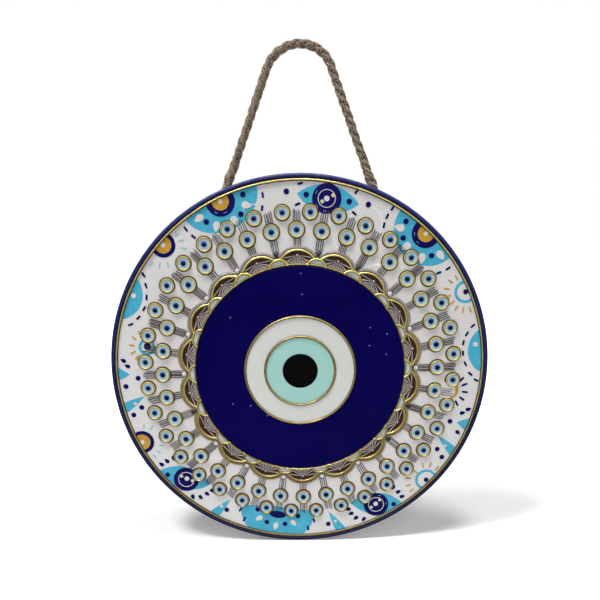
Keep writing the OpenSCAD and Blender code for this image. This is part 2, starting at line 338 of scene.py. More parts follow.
class Board:
    """A node tree with short ways to add and join nodes."""

    def __init__(self, tree: bpy.types.NodeTree) -> None:
        """Takes over a tree."""
        self.tree = tree

    def node(self, kind: str, inputs: Optional[dict] = None, **settings: object) -> bpy.types.Node:
        """Adds a node.

        Args:
            kind: Blender's name of the node's type.
            inputs: A value or an output socket for each named or numbered input.
            **settings: Properties of the node itself.

        Returns:
            The node.
        """
        made = self.tree.nodes.new(kind)
        for name, value in settings.items():
            setattr(made, name, value)
        for key, value in (inputs or {}).items():
            if isinstance(value, bpy.types.NodeSocket):
                self.tree.links.new(value, made.inputs[key])
            else:
                made.inputs[key].default_value = value
        return made

    def group(self, tree: bpy.types.NodeTree, inputs: dict) -> bpy.types.Node:
        """Places a node group with its own values."""
        return self.node("ShaderNodeGroup", inputs, node_tree=tree)

    def mix(self, factor: object, first: object, second: object, blend: str = "MIX") -> bpy.types.NodeSocket:
        """Mixes two colours and gives the result's socket."""
        made = self.node(
            "ShaderNodeMix", {0: factor, 6: first, 7: second}, data_type="RGBA", blend_type=blend
        )
        return made.outputs[2]

    def math(self, operation: str, first: object, second: object = 0.0) -> bpy.types.NodeSocket:
        """Does arithmetic on two numbers and gives the result's socket."""
        return self.node("ShaderNodeMath", {0: first, 1: second}, operation=operation).outputs[0]

    def spread(
        self, value: object, low: object, high: object, start: object, stop: object
    ) -> bpy.types.NodeSocket:
        """Maps a number from low..high onto start..stop, smoothly and within them."""
        keys = ("Value", "From Min", "From Max", "To Min", "To Max")
        made = self.node("ShaderNodeMapRange", dict(zip(keys, (value, low, high, start, stop))))
        made.interpolation_type = "SMOOTHSTEP"
        return made.outputs[0]

    def place(self) -> bpy.types.Node:
        """Adds the object's own coordinates, parted into X, Y and Z."""
        where = self.node("ShaderNodeTexCoord").outputs["Object"]
        return self.node("ShaderNodeSeparateXYZ", {0: where})

    def noise(
        self, scale: object, detail: float = 3.0, vector: object = None, rough: float = 0.5
    ) -> bpy.types.Node:
        """Adds a noise texture on the object's own coordinates, or on a vector."""
        where = vector or self.node("ShaderNodeTexCoord").outputs["Object"]
        return self.node(
            "ShaderNodeTexNoise", {"Vector": where, "Scale": scale, "Detail": detail, "Roughness": rough}
        )


def shader_group(name: str, inputs: dict[str, object], outputs: dict[str, str]) -> tuple:
    """Starts a shader node group.

    Args:
        name: Name of the group.
        inputs: Default of each input; a tuple makes a colour and a number makes a float.
        outputs: Kind of each output, Float, Color or Vector.

    Returns:
        Its board, its input node and its output node.
    """
    tree = bpy.data.node_groups.new(name, "ShaderNodeTree")
    for key, value in inputs.items():
        kind = "NodeSocketColor" if isinstance(value, tuple) else "NodeSocketFloat"
        tree.interface.new_socket(name=key, in_out="INPUT", socket_type=kind).default_value = value
    for key, kind in outputs.items():
        tree.interface.new_socket(name=key, in_out="OUTPUT", socket_type="NodeSocket" + kind)
    board = Board(tree)
    return board, board.node("NodeGroupInput"), board.node("NodeGroupOutput")


class Effects:
    """Surface effects that more than one finish uses, each built once as a node group."""

    def __init__(self) -> None:
        """Builds every group."""
        self.mottle = self._mottle()
        self.ripple = self._ripple()
        self.foot_shade = self._foot_shade()
        self.flecks = self._flecks()
        self.fibre = self._fibre()

    @staticmethod
    def _mottle() -> bpy.types.NodeTree:
        """Cloudy change between two colours."""
        white = (1.0, 1.0, 1.0, 1.0)
        board, given, out = shader_group(
            "mottle", {"First": white, "Second": white, "Scale": 60.0, "Share": 0.5},
            {"Color": "Color", "Mask": "Float"}
        )
        cloud = board.noise(given.outputs["Scale"], 4.0)
        mask = board.spread(cloud.outputs[0], 0.35, 0.7, 0.0, given.outputs["Share"])
        board.tree.links.new(
            board.mix(mask, given.outputs["First"], given.outputs["Second"]), out.inputs["Color"]
        )
        board.tree.links.new(mask, out.inputs["Mask"])
        return board.tree

    @staticmethod
    def _ripple() -> bpy.types.NodeTree:
        """Gentle waves of poured resin with a finer skin on them."""
        board, given, out = shader_group(
            "ripple", {"Scale": 70.0, "Depth": 0.2, "Skin": 0.02}, {"Normal": "Vector"}
        )
        wave = board.noise(given.outputs["Scale"], 1.5)
        skin = board.noise(board.math("MULTIPLY", given.outputs["Scale"], 9.0), 2.0)
        height = board.math("MULTIPLY", wave.outputs[0], given.outputs["Depth"])
        fine = board.math("MULTIPLY", skin.outputs[0], given.outputs["Skin"])
        bump = board.node(
            "ShaderNodeBump", {"Strength": 1.0, "Distance": MM, "Height": board.math("ADD", height, fine)}
        )
        board.tree.links.new(bump.outputs[0], out.inputs["Normal"])
        return board.tree

    @staticmethod
    def _foot_shade() -> bpy.types.NodeTree:
        """Mask that rises from a raised line's foot to its crest, broken up by noise; under it the foot takes
        painted shade.
        """
        board, given, out = shader_group(
            "foot_shade", {"Foot": 0.0, "Crest": 1.0, "Break": 0.3}, {"Mask": "Float"}
        )
        place = board.place()
        rise = board.spread(place.outputs["Y"], given.outputs["Foot"], given.outputs["Crest"], 0.0, 1.0)
        patch = board.math(
            "MULTIPLY", board.math("SUBTRACT", board.noise(900.0, 2.0).outputs[0], 0.5),
            given.outputs["Break"]
        )
        mask = board.node("ShaderNodeClamp", {"Value": board.math("ADD", rise, patch)}).outputs[0]
        board.tree.links.new(mask, out.inputs["Mask"])
        return board.tree

    @staticmethod
    def _flecks() -> bpy.types.NodeTree:
        """Mask of a few tiny round flecks."""
        board, given, out = shader_group(
            "flecks", {"Scale": 120.0, "Size": 0.06, "Share": 0.1}, {"Mask": "Float"}
        )
        place = board.place()
        where = board.node("ShaderNodeCombineXYZ", {0: place.outputs["X"], 1: place.outputs["Z"]}).outputs[0]
        cell = board.node(
            "ShaderNodeTexVoronoi", {"Vector": where, "Scale": given.outputs["Scale"]},
            voronoi_dimensions="2D"
        )
        near = board.math("LESS_THAN", cell.outputs["Distance"], given.outputs["Size"])
        tint = board.node("ShaderNodeSeparateColor", {0: cell.outputs["Color"]})
        kept = board.math("LESS_THAN", tint.outputs[0], given.outputs["Share"])
        board.tree.links.new(board.math("MULTIPLY", near, kept), out.inputs["Mask"])
        return board.tree

    @staticmethod
    def _fibre() -> bpy.types.NodeTree:
        """Long fibres that run along a strand's UV map with a slant, as a mask and a height."""
        board, given, out = shader_group(
            "fibre", {"Round": 9.0, "Along": 0.35, "Slant": 0.12}, {"Mask": "Float", "Height": "Float"}
        )
        place = board.node("ShaderNodeSeparateXYZ", {0: board.node("ShaderNodeUVMap").outputs[0]})
        turn = board.math(
            "ADD", place.outputs[0], board.math("MULTIPLY", place.outputs[1], given.outputs["Slant"])
        )
        angle = board.math("MULTIPLY", turn, math.tau)
        ring = board.node(
            "ShaderNodeCombineXYZ",
            {
                0: board.math("COSINE", angle),
                1: board.math("SINE", angle),
                2: board.math("MULTIPLY", place.outputs[1], given.outputs["Along"]),
            },
        )
        threads = board.noise(given.outputs["Round"], 3.0, ring.outputs[0], 0.6)
        board.tree.links.new(board.spread(threads.outputs[0], 0.3, 0.7, 0.0, 1.0), out.inputs["Mask"])
        board.tree.links.new(threads.outputs[0], out.inputs["Height"])
        return board.tree


def new_material(name: str) -> tuple[bpy.types.Material, Board]:
    """Starts an empty node material."""
    made = bpy.data.materials.new(name)
    made.use_nodes = True
    made.node_tree.nodes.clear()
    return made, Board(made.node_tree)


def close_material(board: Board, inputs: dict) -> None:
    """Ends a material with a Principled shader of these inputs."""
    shader = board.node("ShaderNodeBsdfPrincipled", inputs)
    board.node("ShaderNodeOutputMaterial", {"Surface": shader.outputs[0]})


@dataclass(frozen=True)
class Glaze:
    """Poured or printed colour: lacquer, enamel, resin or ink."""

    name: str
    colour: Colour
    second: Colour
    share: float = 0.5
    scale: float = 90.0
    roughness: float = 0.2
    gloss: float = 0.5
    coat: float = 0.0
    wave: float = 70.0
    depth: float = 0.1
    skin: float = 0.01
    fleck: Optional[Colour] = None
    fleck_share: float = 0.12

    def make(self, effects: Effects) -> bpy.types.Material:
        """Builds the material from the shared effects."""
        made, board = new_material(self.name)
        base = board.group(
            effects.mottle,
            {"First": self.colour, "Second": self.second, "Scale": self.scale, "Share": self.share},
        ).outputs["Color"]
        if self.fleck:
            mask = board.group(effects.flecks, {"Scale": 110.0, "Size": 0.035, "Share": self.fleck_share})
            base = board.mix(mask.outputs[0], base, self.fleck)
        rough = board.spread(
            board.noise(self.scale * 3, 3.0).outputs[0], 0.3, 0.8, self.roughness * 0.7, self.roughness * 1.3
        )
        normal = board.group(effects.ripple, {"Scale": self.wave, "Depth": self.depth, "Skin": self.skin})
        close_material(
            board,
            {
                "Base Color": base,
                "Roughness": rough,
                "Specular IOR Level": self.gloss,
                "Coat Weight": self.coat,
                "Coat Roughness": 0.08,
                "Normal": normal.outputs[0],
            },
        )
        return made


@dataclass(frozen=True)
class Gilding:
    """Gold foil on raised lines: gold crests, dark brown feet painted as shade, and painted shade that browns
    the gold towards the bottom.
    """

    name: str
    bright: Colour
    warm: Colour
    dark: Colour
    foot: float
    crest: float
    shade: Colour = srgb(132, 98, 46)
    roughness: float = 0.28
    metallic: float = 0.7

    def make(self, effects: Effects) -> bpy.types.Material:
        """Builds the material from the shared effects."""
        made, board = new_material(self.name)
        tint = board.group(
            effects.mottle, {"First": self.bright, "Second": self.warm, "Scale": 260.0, "Share": 0.7}
        )
        # Painted shade: the mask darkens each line's foot to the dark colour and takes its metal away.
        mask = board.group(effects.foot_shade, {"Foot": self.foot, "Crest": self.crest, "Break": 0.5})
        place = board.place()
        # Painted shade: the gold turns browner towards the bottom of the plaque.
        low_shade = board.spread(place.outputs["Z"], -0.26, -0.15, 0.7, 0.0)
        foil = board.mix(low_shade, tint.outputs["Color"], self.shade)
        close_material(
            board,
            {
                "Base Color": board.mix(mask.outputs[0], self.dark, foil),
                "Metallic": board.math("MULTIPLY", mask.outputs[0], self.metallic),
                "Roughness": board.spread(mask.outputs[0], 0.0, 1.0, 0.5, self.roughness),
                "Normal": board.group(
                    effects.ripple, {"Scale": 500.0, "Depth": 0.06, "Skin": 0.01}
                ).outputs[0],
            },
        )
        return made


@dataclass(frozen=True)
class Graded:
    """Ink or enamel whose colour follows a number stored on the mesh, or the height on the plaque."""

    name: str
    low: Colour
    high: Colour
    attribute: Optional[str] = None
    start: float = 0.0
    stop: float = 1.0
    roughness: float = 0.2
    metallic: float = 0.0
    coat: float = 0.3

    def make(self, effects: Effects) -> bpy.types.Material:
        """Builds the material from the shared effects."""
        made, board = new_material(self.name)
        if self.attribute:
            value = board.node("ShaderNodeAttribute", attribute_name=self.attribute).outputs["Fac"]
        else:
            value = board.place().outputs["Z"]
        patch = board.math("MULTIPLY", board.math("SUBTRACT", board.noise(700.0, 2.0).outputs[0], 0.5), 0.25)
        share = board.math("ADD", board.spread(value, self.start, self.stop, 0.0, 1.0), patch)
        close_material(
            board,
            {
                "Base Color": board.mix(
                    board.node("ShaderNodeClamp", {"Value": share}).outputs[0], self.low, self.high
                ),
                "Metallic": self.metallic,
                "Roughness": board.spread(
                    board.noise(400.0).outputs[0], 0.3, 0.7, self.roughness * 0.7, self.roughness * 1.4
                ),
                "Coat Weight": self.coat,
                "Coat Roughness": 0.06,
                "Normal": board.group(
                    effects.ripple, {"Scale": 300.0, "Depth": 0.04, "Skin": 0.01}
                ).outputs[0],
            },
        )
        return made


@dataclass(frozen=True)
class Jute:
    """Twisted plant fibre with pale loose threads, and grooves between the strands darkened as painted shade.
    """

    name: str = "jute"
    dark: Colour = srgb(56, 32, 16)
    middle: Colour = srgb(158, 130, 100)
    pale: Colour = srgb(222, 200, 170)

    def make(self, effects: Effects) -> bpy.types.Material:
        """Builds the material from the shared effects."""
        made, board = new_material(self.name)
        thread = board.group(effects.fibre, {"Round": 4.5, "Along": 0.22, "Slant": 0.1})
        fine = board.group(effects.fibre, {"Round": 9.0, "Along": 0.2, "Slant": 0.12})
        groove_shade = board.node("ShaderNodeAttribute", attribute_name="outward").outputs["Fac"]
        body = board.mix(thread.outputs["Mask"], self.middle, self.pale)
        body = board.mix(board.spread(fine.outputs["Mask"], 0.6, 0.15, 0.0, 0.9), body, self.dark)
        # Painted shade: darker where the strand's surface lies deep between strands.
        body = board.mix(board.spread(groove_shade, 0.75, 0.35, 0.0, 0.9), body, self.dark)
        patch = board.noise(700.0, 3.0, None, 0.7).outputs[0]
        body = board.mix(board.spread(patch, 0.52, 0.6, 0.0, 0.9), body, self.dark)
        height = board.math(
            "ADD", thread.outputs["Height"], board.math("MULTIPLY", fine.outputs["Height"], 0.6)
        )
        bump = board.node("ShaderNodeBump", {"Strength": 1.0, "Distance": 0.6 * MM, "Height": height})
        close_material(
            board,
            {
                "Base Color": body,
                "Roughness": board.spread(thread.outputs["Mask"], 0.0, 1.0, 0.95, 0.75),
                "Specular IOR Level": 0.25,
                "Sheen Weight": 0.25,
                "Sheen Roughness": 0.5,
                "Normal": bump.outputs[0],
            },
        )
        return made


@dataclass(frozen=True)
class Felt:
    """Pressed dark felt with short crossing fibres."""

    name: str = "felt"
    dark: Colour = srgb(22, 22, 30)
    pale: Colour = srgb(58, 58, 72)

    def make(self, effects: Effects) -> bpy.types.Material:
        """Builds the material from the shared effects."""
        made, board = new_material(self.name)
        where = board.node("ShaderNodeTexCoord").outputs["Object"]
        hairs = []
        for turn, scale in ((0.4, (2600, 1, 420)), (1.9, (420, 1, 2600)), (1.1, (2200, 1, 500))):
            mapped = board.node(
                "ShaderNodeMapping", {"Vector": where, "Rotation": (0, turn, 0), "Scale": scale}
            )
            hairs.append(board.noise(1.0, 3.0, mapped.outputs[0], 0.7).outputs[0])
        tangle = board.math("MAXIMUM", hairs[0], board.math("MAXIMUM", hairs[1], hairs[2]))
        tint = board.group(
            effects.mottle, {"First": self.dark, "Second": self.pale, "Scale": 500.0, "Share": 0.5}
        )
        colour = board.mix(board.spread(tangle, 0.5, 0.85, 0.0, 1.0), tint.outputs["Color"], self.pale)
        bump = board.node("ShaderNodeBump", {"Strength": 0.8, "Distance": 0.2 * MM, "Height": tangle})
        close_material(
            board,
            {
                "Base Color": colour,
                "Roughness": board.spread(tangle, 0.3, 0.9, 1.0, 0.85),
                "Specular IOR Level": 0.2,
                "Sheen Weight": 0.35,
                "Sheen Roughness": 0.6,
                "Normal": bump.outputs[0],
            },
        )
        return made


@dataclass(frozen=True)
class Steel:
    """Zinc-plated steel with fine drawing marks and dull patches."""

    name: str = "zinc_plated_steel"
    bright: Colour = srgb(196, 199, 204)
    dull: Colour = srgb(140, 142, 146)
    grain: tuple[float, float, float] = (300.0, 2600.0, 2600.0)

    def make(self, effects: Effects) -> bpy.types.Material:
        """Builds the material from the shared effects."""
        made, board = new_material(self.name)
        where = board.node("ShaderNodeTexCoord").outputs["Object"]
        mapped = board.node("ShaderNodeMapping", {"Vector": where, "Scale": self.grain})
        lines = board.noise(1.0, 3.0, mapped.outputs[0], 0.7).outputs[0]
        tint = board.group(
            effects.mottle, {"First": self.bright, "Second": self.dull, "Scale": 350.0, "Share": 0.8}
        )
        bump = board.node("ShaderNodeBump", {"Strength": 0.25, "Distance": 0.05 * MM, "Height": lines})
        close_material(
            board,
            {
                "Base Color": board.mix(
                    board.spread(lines, 0.4, 0.7, 0.0, 0.35), tint.outputs["Color"], self.dull
                ),
                "Metallic": 1.0,
                "Roughness": board.spread(tint.outputs["Mask"], 0.0, 0.8, 0.28, 0.5),
                "Normal": bump.outputs[0],
            },
        )
        return made


# ---------------------------------------- the plaque


@dataclass
class Setting:
    """Where the plaque stands in the row frame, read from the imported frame."""

    radius: float = 0.0
    centre_z: float = 0.0
    back_y: float = 0.0
    face_turn: float = 1.4
    panel_top: float = 0.0
    eye_top: float = 0.0
    recess: float = 0.0

    @classmethod
    def read(cls) -> "Setting":
        """Measures the frame's base plate, face panel and large eye."""
        low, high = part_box("base_plate")
        panel_low, panel_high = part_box("face_panel")
        eye_low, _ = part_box("navy_field")
        return cls(
            radius=round((high.x - low.x) / 2 / MM, 1),
            centre_z=(low.z + high.z) / 2 / MM,
            back_y=high.y / MM,
            panel_top=(high.y - panel_low.y) / MM,
            eye_top=(high.y - eye_low.y) / MM,
            recess=(high.y - panel_high.y) / MM,
        )

    def matrix(self, turned_print: bool) -> Matrix:
        """Moves a drawing on the face, in millimetres, into the row frame, in metres."""
        turn = turned(self.face_turn if turned_print else 0)
        place = Matrix.Translation((0, self.back_y * MM, self.centre_z * MM)) @ turned(90, "X")
        return place @ Matrix.Scale(MM, 4) @ turn

    def depth(self, level: float) -> float:
        """Y in the row frame, in metres, of a height above the plaque's back."""
        return (self.back_y - level) * MM


class Piece:
    """One named piece in the making, gathered from blanks."""

    def __init__(self, name: str, *blanks: bpy.types.Mesh) -> None:
        """Starts the piece with any blanks that are already in place."""
        self.name = name
        self.bm = bmesh.new()
        for blank in blanks:
            self.add(blank)

    def add(self, blank: bpy.types.Mesh, *places: Matrix) -> "Piece":
        """Stamps a blank at each place, or once where it was drawn."""
        for place in places or (Matrix.Identity(4),):
            copy = blank.copy()
            copy.transform(place)
            self.bm.from_mesh(copy)
            bpy.data.meshes.remove(copy)
        return self

    def finish(
        self,
        matrix: Matrix,
        body: Body,
        slot: Slot,
        material: bpy.types.Material,
        replaces: Sequence[str] = (),
        crease: float = 32.0,
    ) -> bpy.types.Object:
        """Puts the piece in the row frame, parents it to its body and hides the CAD nodes that it replaces.

        Args:
            matrix: Moves it from its drawing into the row frame.
            body: The body that it rides on.
            slot: The record's slot; not used.
            material: Its material.
            replaces: CAD nodes that it stands for.
            crease: Angle in degrees above which an edge stays sharp.

        Returns:
            The piece's object.
        """
        mesh = bpy.data.meshes.new(self.name)
        self.bm.transform(matrix)
        self.bm.to_mesh(mesh)
        self.bm.free()
        mesh.materials.clear()
        mesh.materials.append(material)
        mesh.shade_smooth()
        mesh.set_sharp_from_angle(angle=math.radians(crease))
        made = bpy.data.objects.new(self.name, mesh)
        bpy.context.scene.collection.objects.link(made)
        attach(made, body.value)
        if replaces:
            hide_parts(*replaces)
        LOG.info("%s: %d faces", self.name, len(mesh.polygons))
        return made


@dataclass
class PlaqueBody:
    """Blue base plate with its rounded rim, white face panel, gold bead beside the rim, and felt."""

    setting: Setting
    rim_w: float = 2.4
    rim_h: float = 2.0
    back_round: float = 1.5
    bead_w: float = 1.2
    bead_h: float = 0.9
    hole_r: float = 55.45
    felt_r: float = 93.0
    felt_t: float = 0.6
    steps: int = 240

    def build_plate(self) -> Piece:
        """Lathes the base plate."""
        edge, half, back = self.setting.radius, self.rim_w / 2, self.back_round
        crown = self.setting.recess + self.rim_h - half
        profile = [(0, 0), (edge * 0.5, 0), (edge - back, 0)]
        profile += arc((edge - back, back), back, -75, 0, 5)
        profile += [(edge, crown - 0.6)] + arc((edge - half, crown), half, 0, 180, 14)
        profile += [(edge - self.rim_w, self.setting.recess), (0, self.setting.recess)]
        return Piece("rimmed_base_plate", lathed(profile, self.steps))

    def build_panel(self) -> Piece:
        """Lathes the white face panel with softened edges and evenly spaced rows across its face."""
        low, top, outer = self.setting.recess, self.setting.panel_top, self.setting.radius - self.rim_w - 0.05
        profile = [(outer, low), (outer, top - 0.1), (outer - 0.1, top)]
        profile += [(outer + (self.hole_r - outer) * k / 12, top) for k in range(1, 12)]
        profile += [(self.hole_r + 0.1, top), (self.hole_r, top - 0.1), (self.hole_r, low)]
        return Piece("white_face", lathed(profile, self.steps, closed=True))

    def build_bead(self) -> Piece:
        """Lathes the gold bead."""
        middle = self.setting.radius - self.rim_w - 0.05 - self.bead_w / 2
        section = ScallopRing.wire_section(middle, self.bead_w + 0.3, self.bead_h, self.setting.panel_top)
        return Piece("rim_gold_line", lathed(section, self.steps, closed=True))

    def build_felt(self) -> Piece:
        """Lathes the felt with a soft edge."""
        edge = arc((self.felt_r - 0.4, -self.felt_t + 0.4), 0.4, 270, 360, 4)
        profile = [(0, -self.felt_t), (self.felt_r / 2, -self.felt_t)] + edge + [(self.felt_r, 0), (0, 0)]
        return Piece("back_felt", lathed(profile, 120))

    def build(self, looks: dict[str, bpy.types.Material]) -> None:
        """Builds and dresses all four pieces."""
        matrix = self.setting.matrix(False)
        # The base plate's lacquer darkens towards the bottom: painted shade.
        self.build_plate().finish(matrix, Body.PLAQUE, Slot.BLUE_BODY, looks["blue_lacquer"], ["base_plate"])
        self.build_panel().finish(matrix, Body.PLAQUE, Slot.WHITE_FACE, looks["white_resin"], ["face_panel"])
        self.build_bead().finish(matrix, Body.PLAQUE, Slot.GOLD, looks["gold"], ["rim_bead"])
        self.build_felt().finish(matrix, Body.PLAQUE, Slot.FELT, looks["felt"], ["backing_felt"])


@dataclass
class LargeEye:
    """Navy field and the white, turquoise and black pieces in its middle, with gold beads between them."""

    setting: Setting
    navy_r: float = 55.4
    white_r: float = 29.2
    iris_r: float = 18.6
    pupil_r: float = 9.3
    bead_w: float = 0.8
    bead_h: float = 0.6
    soft: float = 0.25
    gap: float = 0.05

    def layer(self, name: str, outer: float, inner: float, steps: int) -> Piece:
        """Lathes one resin ring, or a disc where the inner radius is 0."""
        low, top, soft = self.setting.recess, self.setting.eye_top, self.soft
        rows = 8
        face = [(outer - soft - (outer - inner - 2 * soft) * k / rows, top) for k in range(1, rows)]
        profile = [(outer, low)] + arc((outer - soft, top - soft), soft, 0, 90, 4) + face
        if inner:
            profile += arc((inner + soft, top - soft), soft, 90, 180, 4) + [(inner, low)]
            return Piece(name, lathed(profile, steps, closed=True))
        return Piece(name, lathed([(0, low)] + profile + [(0, top)], steps))

    def bead(self, name: str, radius: float) -> Piece:
        """Lathes one gold bead over a joint."""
        section = ScallopRing.wire_section(radius, self.bead_w + 0.5, self.bead_h, self.setting.eye_top)
        return Piece(name, lathed(section, 160, closed=True))

    def build(self, looks: dict[str, bpy.types.Material]) -> None:
        """Builds and dresses the pieces from the outside in."""
        matrix = self.setting.matrix(False)
        rings = (
            (
                "navy_resin_field", self.navy_r, self.white_r + self.gap, Slot.NAVY_RESIN, "navy_resin",
                "navy_field"
            ),
            (
                "eye_white", self.white_r, self.iris_r + self.gap, Slot.WHITE_ENAMEL, "eye_white",
                "eye_white_ring"
            ),
            (
                "eye_turquoise", self.iris_r, self.pupil_r + self.gap, Slot.TURQUOISE_ENAMEL,
                "eye_turquoise", "eye_iris"
            ),
            ("eye_black", self.pupil_r, 0.0, Slot.BLACK_ENAMEL, "eye_black", "eye_pupil"),
        )
        for name, outer, inner, slot, look, node in rings:
            self.layer(name, outer, inner, 200).finish(matrix, Body.PLAQUE, slot, looks[look], [node])
        for name, radius, node in (
            ("eye_gold_line_outer", self.white_r, "eye_outer_bead"),
            ("eye_gold_line_inner", self.iris_r, "eye_inner_bead"),
        ):
            self.bead(name, radius).finish(matrix, Body.PLAQUE, Slot.GOLD, looks["gold_fine"], [node])


@dataclass
class ScallopRing:
    """Gold scallops and links round the navy field, with their fans, pearls, enamels, beads and grey arcs."""

    setting: Setting
    count: int = 18
    scallop_r: float = 10.2
    scallop_centre: float = 52.9
    link_r: float = 5.0
    link_centre: float = 54.1
    ring_inner: float = 55.5
    ring_outer: float = 56.4
    wire_w: float = 1.0
    wire_h: float = 1.0
    skirt: float = 0.7
    arc_gap: float = 1.2
    arc_w: float = 0.8
    arc_h: float = 0.5
    fan_t: float = 0.2
    pearl_at: float = 60.4
    pearl_r: float = 0.6
    junction_at: float = 61.7
    junction_r: float = 1.25
    dark_junctions: tuple[int, ...] = (0, 1, 5, 6, 12, 17)
    ribs: int = 9
    rib_start: float = 1.0
    rib_longest: float = 9.0
    knot_r: float = 0.75
    knot_h: float = 0.35
    step: float = field(init=False)
    link_spot: Vector = field(init=False)

    def __post_init__(self) -> None:
        """Works out the turn between scallops and where a link's centre lies from its scallop."""
        self.step = 360 / self.count
        self.link_spot = Vector(polar(self.step / 2, self.link_centre)) - Vector((0, self.scallop_centre))

    def spots(self, radius: float, offset: float = 0.0, within: Optional[Matrix] = None) -> list[Matrix]:
        """Places round the plaque, one for each scallop, each with a further place within it if given."""
        inner = within or Matrix.Identity(4)
        return [at(offset + i * self.step, radius) @ inner for i in range(self.count)]

    def meeting(self, radius: float, other: float) -> float:
        """Angle from the X axis at which a circle about the scallop's centre meets one about the link's."""
        apart = self.link_spot.length
        share = (radius**2 + apart**2 - other**2) / (2 * radius * apart)
        return math.degrees(math.acos(share) + math.atan2(self.link_spot.y, self.link_spot.x))

    def landing(self, radius: float, ring: float) -> float:
        """Angle from the X axis at which a circle about a link's centre meets one about the plaque's."""
        share = (ring**2 - self.link_centre**2 - radius**2) / (2 * self.link_centre * radius)
        return 90 - math.degrees(math.acos(share))

    @staticmethod
    def wire_section(radius: float, width: float, height: float, low: float) -> list[Point]:
        """Section of a cast wire: a narrow round crest on a spreading foot."""
        shape = ((0.5, 0), (0.46, 0.2), (0.3, 0.62), (0.22, 0.86), (0.12, 0.97), (0, 1))
        right = [(radius + width * x, low + height * y) for x, y in shape]
        return right + [(2 * radius - x, y) for x, y in reversed(right[:-1])]

    def build_filigree(self) -> Piece:
        """Scallop wires, link wires, the ring that they stand on, and a knot at each link's foot."""
        low = self.setting.panel_top
        middle = (self.ring_inner + self.ring_outer) / 2
        width = self.ring_outer - self.ring_inner
        piece = Piece(
            "gold_scallops", lathed(self.wire_section(middle, width, self.wire_h, low), 216, closed=True)
        )
        start = self.meeting(self.scallop_r, self.link_r) - 1.0
        turn = turned(start)
        wire = self.wire_section(self.scallop_r, self.wire_w + self.skirt, self.wire_h, low)
        scallop = lathed(wire, 22, True, 180 - 2 * start)
        piece.add(scallop, *self.spots(self.scallop_centre, within=turn))
        start = self.landing(self.link_r, middle)
        turn = turned(start)
        wire = self.wire_section(self.link_r, self.wire_w + self.skirt, self.wire_h, low)
        link = lathed(wire, 14, True, 180 - 2 * start)
        piece.add(link, *self.spots(self.link_centre, self.step / 2, turn))
        knot = ball(self.knot_r, 0.9, 6)
        for side in (start, 180 - start):
            foot = Vector((math.cos(math.radians(side)), math.sin(math.radians(side)), 0)) * self.link_r
            foot.z = low + self.knot_h
            piece.add(knot, *self.spots(self.link_centre, self.step / 2, Matrix.Translation(foot)))
        return piece

    def build_arcs(self) -> Piece:
        """Grey double lines that follow the scallops outside."""
        low, radius = self.setting.panel_top, self.scallop_r + self.arc_gap + self.arc_w / 2
        line, gap = self.arc_w * 0.55, self.arc_w * 0.42
        piece = Piece("grey_double_arcs")
        start = 37.0
        turn = turned(start)
        for middle, height in ((radius - gap, self.arc_h), (radius + gap, self.arc_h * 0.8)):
            section = self.wire_section(middle, line, height, low)
            strip = lathed(section, 24, True, 180 - 2 * start)
            piece.add(strip, *self.spots(self.scallop_centre, within=turn))
        return piece

    def build_valleys(self) -> Piece:
        """Dark enamel under and between the grey lines."""
        low, radius = self.setting.panel_top, self.scallop_r + self.arc_gap + self.arc_w / 2
        half, start = self.arc_w * 0.78, 36.0
        turn = turned(start)
        section = [(radius + x, low + y) for x, y in ((half, 0), (half, 0.1), (-half, 0.1), (-half, 0))]
        strip = lathed(section, 24, True, 180 - 2 * start)
        return Piece("grey_arc_valleys").add(strip, *self.spots(self.scallop_centre, within=turn))

    def fan_outline(self, inset: float) -> list[Point]:
        """Outline of one fan about the scallop's centre: its arc, a link on each side and the ring below."""
        scallop, link, ring = self.scallop_r - inset, self.link_r + inset, self.ring_outer + inset - 0.5
        top = self.meeting(scallop, link)
        upper = arc((0, 0), scallop, top, 180 - top, 18)
        spot = self.link_spot
        first = math.degrees(math.atan2(upper[0][1] - spot.y, upper[0][0] - spot.x))
        share = (ring**2 - self.link_centre**2 - link**2) / (2 * self.link_centre * link)
        last = 90 + math.degrees(math.acos(share)) - self.step / 2
        side = arc((spot.x, spot.y), link, last, first, 8)
        left = [(-x, y) for x, y in reversed(side)]
        low_angle = math.degrees(math.atan2(side[0][0], side[0][1] + self.scallop_centre))
        lower = arc((0, -self.scallop_centre), ring, 90 + low_angle, 90 - low_angle, 10)
        return side + upper[1:-1] + left + lower[1:-1]

    def build_fans(self) -> Piece:
        """Brown-grey fan panels, each a thin flat slab."""
        low = self.setting.panel_top
        panel = slab(self.fan_outline(self.wire_w / 2 + 0.02), low, low + self.fan_t * 0.5)
        # The out number lets the fan_panel material paint shade near the gold wire.
        tag(panel, "out", lambda co: (co.to_2d().length / (self.scallop_r - 0.5)))
        return Piece("fan_panels_enamel").add(panel, *self.spots(self.scallop_centre))

    def rib_reach(self, origin: Point, angle: float) -> float:
        """Distance from a point, along an angle, to the fan's edge, found by walking outwards."""
        edge = self.wire_w / 2 + 0.1
        other_link = Vector((-self.link_spot.x, self.link_spot.y))
        reach = self.rib_start
        while reach < self.rib_longest:
            spot = Vector((origin[0] + reach * math.cos(angle), origin[1] + reach * math.sin(angle)))
            nearer_link = min((spot - self.link_spot).length, (spot - other_link).length)
            inside = spot.length < self.scallop_r - edge
            inside &= nearer_link > self.link_r + edge
            inside &= (spot + Vector((0, self.scallop_centre))).length > self.ring_outer + 0.1
            if not inside:
                break
            reach += 0.1
        return reach

